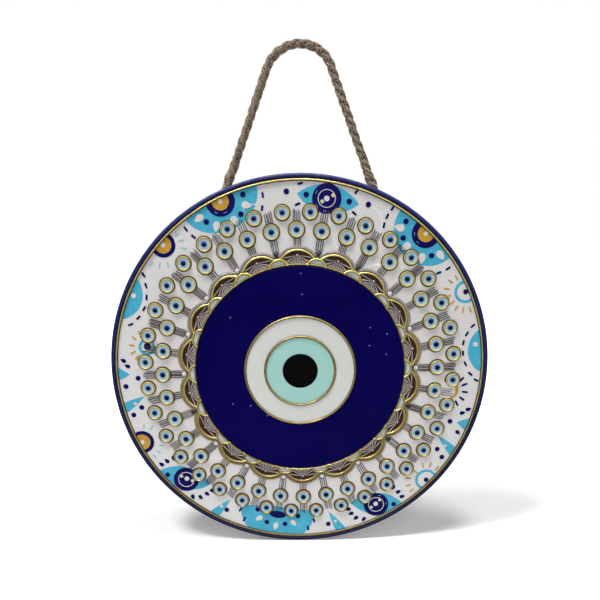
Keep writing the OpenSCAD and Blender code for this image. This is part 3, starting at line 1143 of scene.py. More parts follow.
    def build_ribs(self) -> Piece:
        """Pale ribs that spread from the pearl over each fan."""
        low = self.setting.panel_top
        heart = (0.0, self.pearl_at - self.scallop_centre)
        fan = Piece("one_fan")
        for k in range(self.ribs):
            angle = math.radians(180 + 180 * (k + 0.5) / self.ribs)
            reach = self.rib_reach(heart, angle)
            start, near, far = self.rib_start, 0.05, 0.07 + 0.13 * min(1.0, reach / 6)
            if reach - start < 0.5:
                continue
            outline = [(start, -near), (reach, -far), (reach, far), (start, near)]
            rib = slab(outline, low, low + self.fan_t + 0.05)
            fan.add(rib, Matrix.Translation((*heart, 0)) @ Matrix.Rotation(angle, 4, "Z"))
        blank = bpy.data.meshes.new("fan_ribs")
        fan.bm.to_mesh(blank)
        fan.bm.free()
        return Piece("fan_ribs").add(blank, *self.spots(self.scallop_centre))

    def build_pearls(self) -> Piece:
        """One small pearl at the head of each fan."""
        pearl = ball(self.pearl_r, 0.8, 8)
        raised = Matrix.Translation((0, 0, self.setting.panel_top + self.fan_t))
        return Piece("fan_pearl_drops").add(pearl, *self.spots(self.pearl_at, within=raised))

    def build_links(self) -> Piece:
        """Pale enamel inside each link, crowned in the middle."""
        low, radius, ring = self.setting.panel_top, self.link_r - self.wire_w / 2 + 0.1, self.ring_outer
        start = self.landing(radius, ring)
        upper = arc((0, 0), radius, start, 180 - start, 14)
        spread = math.degrees(math.atan2(upper[0][0], upper[0][1] + self.link_centre))
        lower = arc((0, -self.link_centre), ring, 90 + spread, 90 - spread, 8)
        pane = slab(upper + lower[1:-1], low, low + 0.4, 0.15)
        return Piece("link_panes").add(pane, *self.spots(self.link_centre, self.step / 2))

    def junctions(self, dark: bool) -> list[Matrix]:
        """Places of the beads between scallops, dark or white."""
        places = self.spots(self.junction_at, self.step / 2)
        return [m for i, m in enumerate(places) if (i in self.dark_junctions) == dark]

    def build_beads(self, name: str, dark: bool) -> Piece:
        """Low domed beads."""
        low, radius = self.setting.panel_top + 0.1, self.junction_r
        dome = lathed([(radius, low)] + [(x, low + y * 0.45) for x, y in arc((0, 0), radius, 8, 90, 6)], 24)
        return Piece(name).add(dome, *self.junctions(dark))

    def build_outlines(self) -> Piece:
        """Thin grey rings round the beads."""
        low = self.setting.panel_top
        ring = lathed(self.wire_section(self.junction_r + 0.33, 0.6, 0.35, low), 24, closed=True)
        return Piece("bead_outlines").add(ring, *self.spots(self.junction_at, self.step / 2))

    def build(self, looks: dict[str, bpy.types.Material]) -> None:
        """Builds and dresses every piece of the ring."""
        matrix = self.setting.matrix(True)
        for piece, slot, look, nodes in (
            (self.build_filigree(), Slot.GOLD, "gold", ["gold_filigree"]),
            (self.build_arcs(), Slot.GREY_METAL, "grey_arc", ["outer_arcs"]),
            (self.build_valleys(), Slot.GREY_METAL, "arc_valley", []),
            (self.build_fans(), Slot.FAN_ENAMEL, "fan_panel", ["fan_panels"]),
            (self.build_ribs(), Slot.FAN_ENAMEL, "fan_rib", []),
            (self.build_pearls(), Slot.PEARL, "pearl", ["fan_pearls"]),
            (self.build_links(), Slot.PALE_ENAMEL, "link_pane", ["link_enamels"]),
            (
                self.build_beads("white_junction_beads", False), Slot.WHITE_ENAMEL, "bead_white",
                ["white_beads"]
            ),
            (self.build_beads("dark_junction_beads", True), Slot.DARK_BEAD, "bead_dark", ["dark_beads"]),
            (self.build_outlines(), Slot.GREY_METAL, "bead_line", []),
        ):
            piece.finish(matrix, Body.PLAQUE, slot, looks[look], nodes)


@dataclass
class SmallEyes:
    """One ring of small eyes, each a gold rim round a white dish with a light blue iris and a dark pupil."""

    setting: Setting
    prefix: str
    ring_r: float
    rim_r: float
    offset: float
    seed: int
    count: int = 36
    rim_w: float = 1.0
    rim_h: float = 1.3
    white_t: float = 0.7
    disc_t: float = 0.2
    iris_share: float = 0.68
    pupil_share: float = 0.34
    shade_ring_w: float = 0.4
    shade_ring_h: float = 0.15
    steps: int = 28

    def spots(self, level: float, uneven: bool = False) -> list[Matrix]:
        """Places of the eyes, hand-set slightly out of line; a rim may also be a little out of round."""
        dice = random.Random(self.seed)
        places = []
        for i in range(self.count):
            shift = Vector((dice.uniform(-0.12, 0.12), dice.uniform(-0.12, 0.12), level))
            spin = Matrix.Rotation(dice.uniform(0, math.tau), 4, "Z")
            stretch = Matrix.Diagonal((dice.uniform(0.985, 1.0), dice.uniform(0.975, 1.0), 1, 1))
            place = at(self.offset + i * 360 / self.count, self.ring_r) @ Matrix.Translation(shift) @ spin
            places.append(place @ stretch if uneven else place)
        return places

    def rim(self) -> bpy.types.Mesh:
        """Round-topped rim, wider at its foot."""
        inner, middle = self.rim_r - self.rim_w, self.rim_r - self.rim_w / 2
        shape = (
            (0.5, 0.0), (0.44, 0.15), (0.26, 0.6), (0.18, 0.84), (0.08, 0.97), (-0.08, 0.97),
            (-0.2, 0.82), (-0.34, 0.6)
        )
        profile = [(middle + self.rim_w * x, self.rim_h * y) for x, y in shape]
        return lathed(profile + [(inner, self.white_t * 0.8), (inner, 0)], self.steps, closed=True)

    def shade_ring(self) -> bpy.types.Mesh:
        """Thin dark ring round the rim's foot: painted shade."""
        near, far = self.rim_r - 0.1, self.rim_r + self.shade_ring_w
        section = [(far, 0), (far - 0.06, self.shade_ring_h), (near, self.shade_ring_h), (near, 0)]
        return lathed(section, self.steps, closed=True)

    def dish(self, share: float, low: float, high: float, crown: float, sink: float = 0.0) -> bpy.types.Mesh:
        """Enamel disc with a crowned or sunk top."""
        radius = (self.rim_r - self.rim_w - 0.05) * share
        rows = [
            (radius * s, high + crown * (1 - s * s) - sink * (1 - s**4))
            for s in (0.94, 0.75, 0.5, 0.25, 0.0)
        ]
        blank = lathed([(0, low), (radius, low), (radius, high - 0.04)] + rows, self.steps)
        return tag(blank, "out", lambda co: co.to_2d().length / radius)

    def build(self, looks: dict[str, bpy.types.Material]) -> None:
        """Builds and dresses the four parts of the eyes, and the dark rings of painted shade round their
        feet.
        """
        matrix, top = self.setting.matrix(True), self.setting.panel_top
        iris, pupil = self.white_t + self.disc_t, self.white_t + 2 * self.disc_t
        for part, blank, uneven, slot, look in (
            ("rims", self.rim(), True, Slot.GOLD, "gold_rim"),
            ("whites", self.dish(1.0, 0, self.white_t, 0.0, 0.12), False, Slot.EYE_WHITE, "small_white"),
            (
                "irises", self.dish(self.iris_share, 0.5, iris - 0.1, 0.08), False, Slot.EYE_BLUE,
                "small_blue"
            ),
            (
                "pupils", self.dish(self.pupil_share, 0.6, pupil - 0.16, 0.12), False, Slot.EYE_DARK,
                "small_dark"
            ),
        ):
            piece = Piece(f"{self.prefix}_{part}").add(blank, *self.spots(top, uneven))
            piece.finish(matrix, Body.PLAQUE, slot, looks[look], [f"{self.prefix}_eye_{part}"])
        # Painted shade: a dark ring round each rim's foot.
        line = Piece(f"{self.prefix}_outlines").add(self.shade_ring(), *self.spots(top))
        line.finish(matrix, Body.PLAQUE, Slot.GREY_METAL, looks["rim_line"], [])


class Ink(Enum):
    """Inks of the printed face, each laid over the one before."""

    TURQUOISE = 0
    PALE = 1
    NAVY = 2
    OCHRE = 3
    WHITE = 4
    BEIGE = 5
    GREY = 6


@dataclass
class FacePrint:
    """Printed motifs of the outer band and the grey comb lines between the eyes.

    A place is a pair: degrees clockwise from the top, and millimetres from the middle.
    """

    setting: Setting
    edge_r: float = 96.3
    layer_t: float = 0.045
    sunk: float = 0.05
    dash: tuple[float, float] = (3.0, 1.1)
    seed: int = 7
    combs: int = 36
    comb_w: float = 4.4
    comb_starts: tuple[float, float] = (64.8, 62.9)
    comb_stop: float = 69.3
    outer_comb: tuple[float, float] = (76.8, 82.6)
    run_h: float = 0.14
    runs: tuple[tuple[Point, float, float, float, float], ...] = (
        ((25, 82.6), 8.2, -25, 130, 0.7), ((30, 73), 6.3, 150, 75, 0.9), ((38, 66.0), 2.6, 20, 150, 1.5),
        ((20, 73), 6.6, 200, 60, 0.7), ((50, 73), 6.4, 110, 60, 0.7), ((15, 81.7), 6.6, -40, 60, 0.6),
        ((345, 81.7), 6.8, 60, 70, 0.6), ((65, 81.7), 6.6, -30, 70, 0.6), ((320, 73), 6.4, 120, 60, 0.6),
    )  # fmt: skip
    sheets: dict[Ink, Piece] = field(default_factory=dict)

    def lay(self, ink: Ink, outline: Sequence[Point], *places: Matrix, trim: bool = False) -> None:
        """Prints an outline at each place, trimmed at the rim's gold line if asked."""
        top = self.setting.panel_top
        shape = slab(outline, top - self.sunk, top + self.layer_t * (1 + ink.value))
        for place in places or (Matrix.Identity(4),):
            if trim:
                copy = shape.copy()
                copy.transform(place)
                self.sheets[ink].add(self.trimmed(copy))
            else:
                self.sheets[ink].add(shape, place)

    def trimmed(self, shape: bpy.types.Mesh) -> bpy.types.Mesh:
        """Cuts off what a shape has past the rim's gold line."""
        low, high = self.setting.panel_top - 2, self.setting.panel_top + 2
        disc = lathed([(0, low), (self.edge_r, low), (self.edge_r, high), (0, high)], 180)
        return combined(shape, disc, "INTERSECT")

    def spots(self, ink: Ink, radius: float, *places: Point, trim: bool = False) -> None:
        """Prints round spots."""
        self.lay(
            ink, oval(radius, radius, 24 if radius < 3 else 48), *[at(*place) for place in places], trim=trim
        )

    def hoop(self, ink: Ink, place: Point, outer: float, inner: float) -> None:
        """Prints a thin ring."""
        top = self.setting.panel_top
        low, high = top - self.sunk, top + self.layer_t * (1 + ink.value)
        ring = lathed([(outer, low), (outer, high), (inner, high), (inner, low)], 48, closed=True)
        ring.transform(at(*place))
        self.sheets[ink].add(self.trimmed(ring))

    def rays(
        self, ink: Ink, centre: Point, *places: Point, length: float = 3.1, width: float = 0.75
    ) -> None:
        """Prints short bars that point away from a centre."""
        self.lay(ink, stadium(length, width), *[away_from(place, centre) for place in places], trim=True)

    def stitches(self, centre: Point, *places: Point) -> None:
        """Prints navy dashes that run round a centre."""
        self.lay(
            Ink.NAVY, stadium(*self.dash), *[away_from(place, centre, True) for place in places], trim=True
        )

    def drops(self, ink: Ink, centre: Point, length: float, width: float, *places: Point) -> None:
        """Prints drops whose points face away from a centre."""
        self.lay(ink, drop(length, width), *[away_from(place, centre) for place in places], trim=True)

    def ring_eye(self, place: Point, navy: float, ochre: float) -> None:
        """Prints a navy eye with an ochre middle and a white dot."""
        self.spots(Ink.NAVY, navy, place, trim=True)
        self.spots(Ink.OCHRE, ochre, place, trim=True)
        self.spots(Ink.WHITE, 1.15, place, trim=True)

    def lobe(self, place: Point, half_width: float, half_height: float) -> None:
        """Prints a turquoise lobe that grows from the rim."""
        self.lay(Ink.TURQUOISE, oval(half_width, half_height, 56), at(*place), trim=True)

    def sun_eye(self, place: Point, outer: float, inner: float) -> None:
        """Prints a turquoise hoop round a navy pupil."""
        self.hoop(Ink.TURQUOISE, place, outer, inner)
        self.spots(Ink.NAVY, 1.35, place)

    def petal(self, first: float, last: float, tip: Point, bow: float, dot: Optional[Point] = None) -> None:
        """Prints a turquoise petal that narrows from the rim to a point.

        Args:
            first: Angle of one corner at the rim.
            last: Angle of the other corner, further clockwise.
            tip: Place of the point.
            bow: How far each side swells off its chord.
            dot: Place of a small white dot, if there is one.
        """
        corners = polar(first, self.edge_r + 2), polar(last, self.edge_r + 2)
        outline = bowed(polar(*tip), corners[0], bow) + bowed(corners[0], corners[1], 0.5)
        self.lay(Ink.TURQUOISE, outline + bowed(corners[1], polar(*tip), bow), trim=True)
        if dot:
            self.spots(Ink.WHITE, 0.85, dot)

    def almond(self, first: Point, second: Point, bulge: float, eye: Point, eye_r: float) -> None:
        """Prints a turquoise almond between two tips with a navy eye and a fine white hoop."""
        start, stop = Vector(polar(*first)), Vector(polar(*second))
        along = stop - start
        middle = (start + stop) / 2
        place = Matrix.Translation(middle.to_3d()) @ Matrix.Rotation(math.atan2(along.y, along.x), 4, "Z")
        self.lay(Ink.TURQUOISE, lens(along.length, bulge), place, trim=True)
        self.spots(Ink.NAVY, eye_r, eye, trim=True)
        self.hoop(Ink.WHITE, eye, 4.45, 4.1)

    def print_top(self) -> None:
        """Motifs from the top clockwise to the right-hand side."""
        self.almond((0.3, 90.2), (20.3, 90.0), 6.8, (9.9, 88.9), 7.3)
        self.spots(Ink.WHITE, 1.35, (9.9, 88.9))
        self.spots(Ink.BEIGE, 0.95, (8.6, 87.2), (11.7, 90.9))
        self.spots(Ink.NAVY, 1.4, (3.3, 89.8), (17.1, 89.8), (23.1, 91.5))
        self.stitches((9.9, 60), (1.4, 95.0), (0.5, 85.2), (19.8, 85.2))
        self.rays(Ink.NAVY, (9.9, 70), (18.4, 95.4), length=3.0, width=1.1)
        self.lobe((43.1, 96.2), 17.6, 16.2)
        self.ring_eye((43.1, 95.1), 7.2, 4.2)
        self.spots(Ink.NAVY, 1.4, (35.9, 93.4), (38.4, 86.2), (49.4, 89.8))
        self.drops(Ink.WHITE, (43.1, 95.1), 5.4, 3.8, (35.3, 89.1), (51.2, 93.4), (47.9, 85.3), (41.0, 83.9))
        self.stitches((43.1, 95.1), (30.3, 95.2), (30.1, 90.5), (30.6, 86.0), (56.0, 92.7), (55.4, 87.6))
        self.sun_eye((65.3, 95.1), 5.9, 4.4)
        self.rays(
            Ink.OCHRE, (65.3, 95.1), (60, 94.0), (60, 90.5), (61.5, 87.1), (64, 86.1), (66.7, 86.7),
            (69, 87.7), (70.5, 90.7), (71.2, 94.2)
        )
        self.lobe((85, 103.3), 13.9, 13.9)
        self.spots(Ink.WHITE, 1.3, (82.7, 93.6))
        self.stitches(
            (85, 103.3), (76.5, 93.6), (78.7, 89.8), (81.5, 87.4), (85.2, 86.8), (89, 88.0),
            (92.6, 91.0), (94.7, 94.5)
        )

    def print_right(self) -> None:
        """Motifs on the lower right."""
        self.spots(Ink.OCHRE, 4.4, (99.3, 81.6))
        self.spots(Ink.WHITE, 4.5, (99.3, 79.8))
        self.rays(
            Ink.NAVY, (99.3, 81.6), (94.7, 86.7), (96.5, 88.6), (99.1, 89.6), (101.6, 88.8),
            (103.6, 86.7), length=3.4, width=1.1
        )
        self.petal(107.0, 112.2, (110.3, 90.4), 0.3)
        self.drops(Ink.NAVY, (110, 80), 3.2, 2.2, (104.8, 94.0), (106.5, 91.5), (113.5, 93.4))
        self.spots(Ink.NAVY, 1.35, (110.7, 86.7), (123.6, 92.9), (122, 88.0))
        self.petal(118.8, 122.2, (117.3, 83.9), 0.5, (119.6, 90.7))
        self.sun_eye((133.2, 94.7), 6.2, 4.7)
        self.rays(
            Ink.OCHRE, (133.2, 94.7), (127.8, 94.7), (128.2, 90.4), (130, 87.4), (133.5, 86.9),
            (137.2, 86.7), (139, 90.0), (139.3, 93.6)
        )
        self.almond((144.6, 97.5), (161, 82.3), 6.6, (152.6, 89.1), 7.0)
        self.spots(Ink.WHITE, 1.3, (152.6, 88.6))
        self.spots(Ink.BEIGE, 0.85, (150.6, 87.6), (154.6, 89.3))
        self.spots(Ink.NAVY, 1.35, (147.2, 94.2), (171.3, 91.5))
        self.drops(Ink.NAVY, (152.6, 89.1), 3.2, 2.2, (143.2, 93.2), (143.2, 89.5), (143.6, 85.4))
        self.drops(
            Ink.NAVY, (152.6, 89.1), 3.2, 2.2, (158.9, 94.5), (161.3, 92.1), (162.4, 88.5), (162.9, 85.4)
        )
        self.petal(165.3, 168.9, (170.3, 83.9), 0.5, (168.6, 90.6))

    def print_bottom(self) -> None:
        """Motifs along the bottom and the lower left."""
        corners = [polar(*spot) for spot in ((204.4, 84.6), (197.6, 98), (181.8, 98), (175.8, 82.8))]
        sides = zip(corners, corners[1:] + corners[:1], (-2.4, -0.5, -2.4, -1.0))
        self.lay(
            Ink.TURQUOISE, [spot for start, stop, bow in sides for spot in bowed(start, stop, bow)],
            trim=True
        )
        self.lay(Ink.NAVY, oval(4.6, 2.2), at(190, 84.9))
        self.drops(Ink.WHITE, (190, 81), 4.6, 3.0, (183.8, 89.4), (190.1, 92.4), (196.6, 89.4))
        self.spots(Ink.NAVY, 1.35, (186.9, 90.3), (193.5, 90.7), (182.2, 85.1), (198, 84.3), (208.6, 90.9))
        self.stitches((190, 97), (178.6, 92.7), (176.3, 88.1), (201.5, 92.4), (204.1, 87.5))
        self.petal(210.1, 213.6, (209.2, 83.9), 0.5, (210.9, 90.3))
        self.almond((235.4, 97.5), (219, 82.3), 6.6, (227, 88.8), 7.0)
        self.spots(Ink.WHITE, 1.3, (227.1, 88.2))
        self.spots(Ink.BEIGE, 0.85, (229.0, 89.2), (225.1, 87.0))
        self.drops(Ink.NAVY, (227, 88.8), 3.2, 2.2, (221, 94.5), (218.8, 92.0), (217.7, 88.1), (216.8, 84.8))
        self.spots(Ink.NAVY, 1.35, (232.6, 94.5), (256.3, 93.2), (258.2, 87.7))
        self.drops(Ink.NAVY, (227, 88.8), 3.2, 2.2, (236.8, 93.3), (236.7, 89.6), (236.2, 85.6))
        self.ring_eye((246.6, 95.1), 6.4, 4.4)
        self.rays(
            Ink.PALE, (246.6, 95.1), (240.3, 93.6), (241, 90.2), (242.5, 86.7), (250, 86.9), (251.5, 90.3)
        )
        self.petal(257.0, 260.6, (261.9, 84.7), 0.5, (260, 90.4))

    def print_left(self) -> None:
        """Motifs from the left-hand side back to the top."""
        self.spots(Ink.NAVY, 1.35, (266.3, 93.4), (268.9, 86.3))
        self.petal(268.2, 273.2, (270.2, 90.6), 0.3)
        self.drops(Ink.NAVY, (270, 80), 3.2, 2.2, (275, 93.6), (273.2, 91.5))
        self.hoop(Ink.TURQUOISE, (280.6, 81.5), 4.4, 3.0)
        self.spots(Ink.NAVY, 1.9, (280.9, 81.3))
        self.rays(
            Ink.OCHRE, (280.7, 82.8), (276.5, 86.3), (278, 88.5), (280.5, 89.4), (283, 88.5), (285, 86.3)
        )
        self.lobe((295, 103.1), 13.7, 13.7)
        self.spots(Ink.WHITE, 1.3, (296.5, 94.4))
        self.stitches(
            (295, 103.1), (287.3, 91.6), (290.3, 88.6), (293.9, 87.2), (297.8, 88.1), (301.2, 90.9),
            (303.8, 94.5)
        )
        self.ring_eye((314.9, 95.1), 6.2, 4.2)
        self.rays(
            Ink.PALE, (314.9, 95.1), (308, 94.0), (309.2, 90.3), (311, 87.1), (318.8, 86.7), (320, 90.2),
            (320.3, 93.6)
        )
        self.lobe((336.8, 96.6), 19.8, 15.9)
        self.ring_eye((336.8, 95.1), 7.3, 4.3)
        self.spots(Ink.NAVY, 1.4, (330, 89.8), (341.2, 85.6), (343.9, 94.1), (357.1, 91.5))
        self.drops(
            Ink.WHITE, (336.8, 95.1), 5.2, 3.6, (328.6, 93.2), (332, 85.4), (344.0, 88.8), (338.5, 83.8)
        )
        self.stitches((336.8, 95.1), (323.4, 92.9), (323.8, 87.7), (349.7, 91.4), (348.6, 85.4))

    def print_highlights(self) -> None:
        """Fine pale strokes inside the navy rings of the larger eyes: painted highlights, at the same angles
        on each eye.
        """
        for place, radius in (
            ((43.1, 95.1), 5.8), ((9.9, 88.9), 6.0), ((336.8, 95.1), 5.8), ((152.6, 89.1), 5.8)
        ):
            for turn in (150, 215, 262):
                stroke = arc((0, 0), radius + 0.1, turn, turn + 16, 5)
                stroke += arc((0, 0), radius - 0.1, turn + 16, turn, 5)
                self.lay(
                    Ink.PALE, stroke, at(*place) @ Matrix.Translation((0, 0, self.layer_t * 1.5)), trim=True
                )

    def comb(self, angle: float, inner: float, outer: float, dice: random.Random) -> None:
        """Grey parallel lines along a ray, of uneven length."""
        lines = dice.choice((4, 4, 5))
        for k in range(lines):
            start, stop = inner + dice.uniform(-0.5, 0.5), outer + dice.uniform(-0.9, 0.9)
            width = dice.uniform(0.28, 0.44)
            shift = (k - (lines - 1) / 2) * self.comb_w / lines + dice.uniform(-0.15, 0.15)
            place = at(angle, (start + stop) / 2) @ Matrix.Translation((shift, 0, 0))
            self.lay(Ink.GREY, stadium(stop - start, width, 3), place)

    def print_combs(self) -> None:
        """Comb lines under each inner eye and between the outer ones."""
        dice = random.Random(self.seed)
        for k in range(self.combs):
            angle = 360 * k / self.combs
            self.comb(angle, self.comb_starts[k % 2], self.comb_stop, dice)
            self.comb(angle, *self.outer_comb, dice)

    def build_runs(self) -> Piece:
        """Low runs of clear resin that stand on the white face at the upper right and near the top, coloured
        paler than the face as a painted highlight.
        """
        low = self.setting.panel_top - self.sunk
        piece = Piece("clear_resin_runs")
        for place, radius, start, sweep, width in self.runs:
            section = ScallopRing.wire_section(radius, width, self.run_h, low)
            piece.add(lathed(section, 20, True, sweep), at(*place) @ turned(start))
        return piece

    def build(self, looks: dict[str, bpy.types.Material]) -> None:
        """Prints the whole face and dresses one piece for each ink."""
        self.sheets = {ink: Piece(f"face_print_{ink.name.lower()}") for ink in Ink}
        for part in (self.print_top, self.print_right, self.print_bottom, self.print_left):
            part()
        self.print_highlights()
        self.print_combs()
        for ink, sheet in self.sheets.items():
            sheet.finish(
                self.setting.matrix(True), Body.PLAQUE, Slot.WHITE_FACE, looks[f"ink_{ink.name.lower()}"]
            )
        self.build_runs().finish(self.setting.matrix(True), Body.PLAQUE, Slot.WHITE_FACE, looks["clear_run"])


# ---------------------------------------- back and hanger


@dataclass
class BackHardware:
    """Straps, screws and rubber feet on the back, and the wire rings that turn in the straps."""

    setting: Setting
    spacing: float = 86.5
    pivot_h: float = 76.0
    felt_t: float = 0.6
    strap_w: float = 7.0
    strap_l: float = 20.0
    strap_t: float = 1.0
    knuckle_r: float = 2.0
    bore_r: float = 0.9
    hole_r: float = 1.7
    screw_drop: float = 13.0
    wire_r: float = 0.8
    ring_half_w: float = 5.2
    ring_side: float = 3.8
    ring_bend: float = 0.8
    ring_tilt: float = 25.0
    foot_h: float = 12.0
    foot_r: float = 7.0
    foot_spots: tuple[Point, ...] = ((-60, -40), (60, -40), (-60, 40), (60, 40))

    def strap(self, side: int) -> list[bpy.types.Mesh]:
        """Blanks of one strap: the plate with its screw hole and the rolled knuckle."""
        half, x, low = self.strap_w / 2, side * self.spacing / 2, -self.felt_t
        end = self.pivot_h - self.strap_l + half
        outline = [(x + half, self.pivot_h), (x - half, self.pivot_h)] + arc((x, end), half, 180, 360, 16)
        plate = slab(outline, 0, self.strap_t, 0.12)
        flip = Matrix.Rotation(math.pi, 4, "Y") @ Matrix.Translation((-2 * x, 0, 0))
        plate.transform(Matrix.Translation((0, 0, low)) @ flip)
        drill = lathed([(0, -4), (self.hole_r, -4), (self.hole_r, 2), (0, 2)], 24)
        drill.transform(Matrix.Translation((x, self.pivot_h - self.screw_drop, 0)))
        outer, edge = self.knuckle_r, 0.15
        wall = [(self.bore_r, -half + edge), (self.bore_r, half - edge), (self.bore_r + edge, half)]
        wall += [(outer - edge, half), (outer, half - edge), (outer, -half + edge), (outer - edge, -half)]
        wall += [(self.bore_r + edge, -half)]
        roll = lathed(wall, 32, closed=True)
        axle = Matrix.Translation((x, self.pivot_h, low - self.knuckle_r))
        roll.transform(axle @ turned(90, "Y"))
        return [combined(plate, drill, "DIFFERENCE"), roll]

    def screws(self) -> Piece:
        """Pan-head screws with a cross recess."""
        head_r, head_h, side_h = 2.6, 1.4, 0.5
        turns = (0.4, 0.75, 1.1, 1.35)
        dome = [(head_r * math.cos(t), side_h + (head_h - side_h) * math.sin(t)) for t in turns]
        head = lathed([(0, 0), (head_r, 0), (head_r, side_h)] + dome + [(0, head_h)], 36)
        for turn in (0.3, 0.3 + math.pi / 2):
            blade = rounded_block((2.9, 0.5, 1.4), 0.08)
            blade.transform(Matrix.Translation((0, 0, head_h + 0.05)) @ Matrix.Rotation(turn, 4, "Z"))
            head = combined(head, blade, "DIFFERENCE")
        piece = Piece("strap_pan_screws")
        for side in (-1, 1):
            spot = (side * self.spacing / 2, self.pivot_h - self.screw_drop, -self.felt_t - self.strap_t)
            flip = Matrix.Rotation(math.pi, 4, "Y") @ Matrix.Rotation(side * 0.5, 4, "Z")
            piece.add(head, Matrix.Translation(spot) @ flip)
        return piece

    def feet(self) -> Piece:
        """Rubber feet with a rounded shoulder and a hollow sole."""
        tall, wide = self.foot_h - self.felt_t, self.foot_r
        profile = [(0, 0), (wide + 1, 0), (wide + 0.9, 0.8)] + arc((wide - 0.8, tall - 0.8), 0.8, 5, 90, 5)
        profile += [(wide - 1.6, tall), (wide - 2.4, tall - 0.7), (0, tall - 0.7)]
        foot = lathed(profile, 48)
        flip = Matrix.Rotation(math.pi, 4, "Y")
        places = [Matrix.Translation((x, y, -self.felt_t)) @ flip for x, y in self.foot_spots]
        return Piece("rubber_feet").add(foot, *places)

    def ring(self, side: int) -> Piece:
        """One wire ring: a straight bar in the knuckle, two sides and a half round."""
        half, rise, bend = self.ring_half_w, self.ring_side, self.ring_bend
        flat = half - bend
        outline = [(-flat, 0), (0, 0), (flat, 0)] + arc((flat, bend), bend, 290, 360, 4)
        outline += arc((0, rise), half, 0, 180, 20) + arc((-flat, bend), bend, 180, 250, 4)
        path = [Vector((x, y, 0)) for x, y in outline]
        blank = tube(path, [self.wire_r] * len(path), 3, looped=True)
        spot = Matrix.Translation((side * self.spacing / 2, self.pivot_h, -self.felt_t - self.knuckle_r))
        return Piece(f"{'left' if side < 0 else 'right'}_wire_ring").add(
            blank, spot @ turned(-self.ring_tilt, "X")
        )

    def build(self, looks: dict[str, bpy.types.Material]) -> None:
        """Builds and dresses the hardware."""
        matrix = self.setting.matrix(False)
        for side, word in ((-1, "left"), (1, "right")):
            strap = Piece(f"{word}_hinge_strap", *self.strap(side))
            strap.finish(matrix, Body.PLAQUE, Slot.STEEL, looks["steel"], [f"{word}_strap"])
            self.ring(side).finish(matrix, Body.HANGER, Slot.STEEL, looks["steel"], [f"{word}_ring"])
        self.screws().finish(matrix, Body.PLAQUE, Slot.STEEL, looks["steel"], ["strap_screws"])
        self.feet().finish(matrix, Body.PLAQUE, Slot.RUBBER, looks["rubber"], ["wall_feet"])


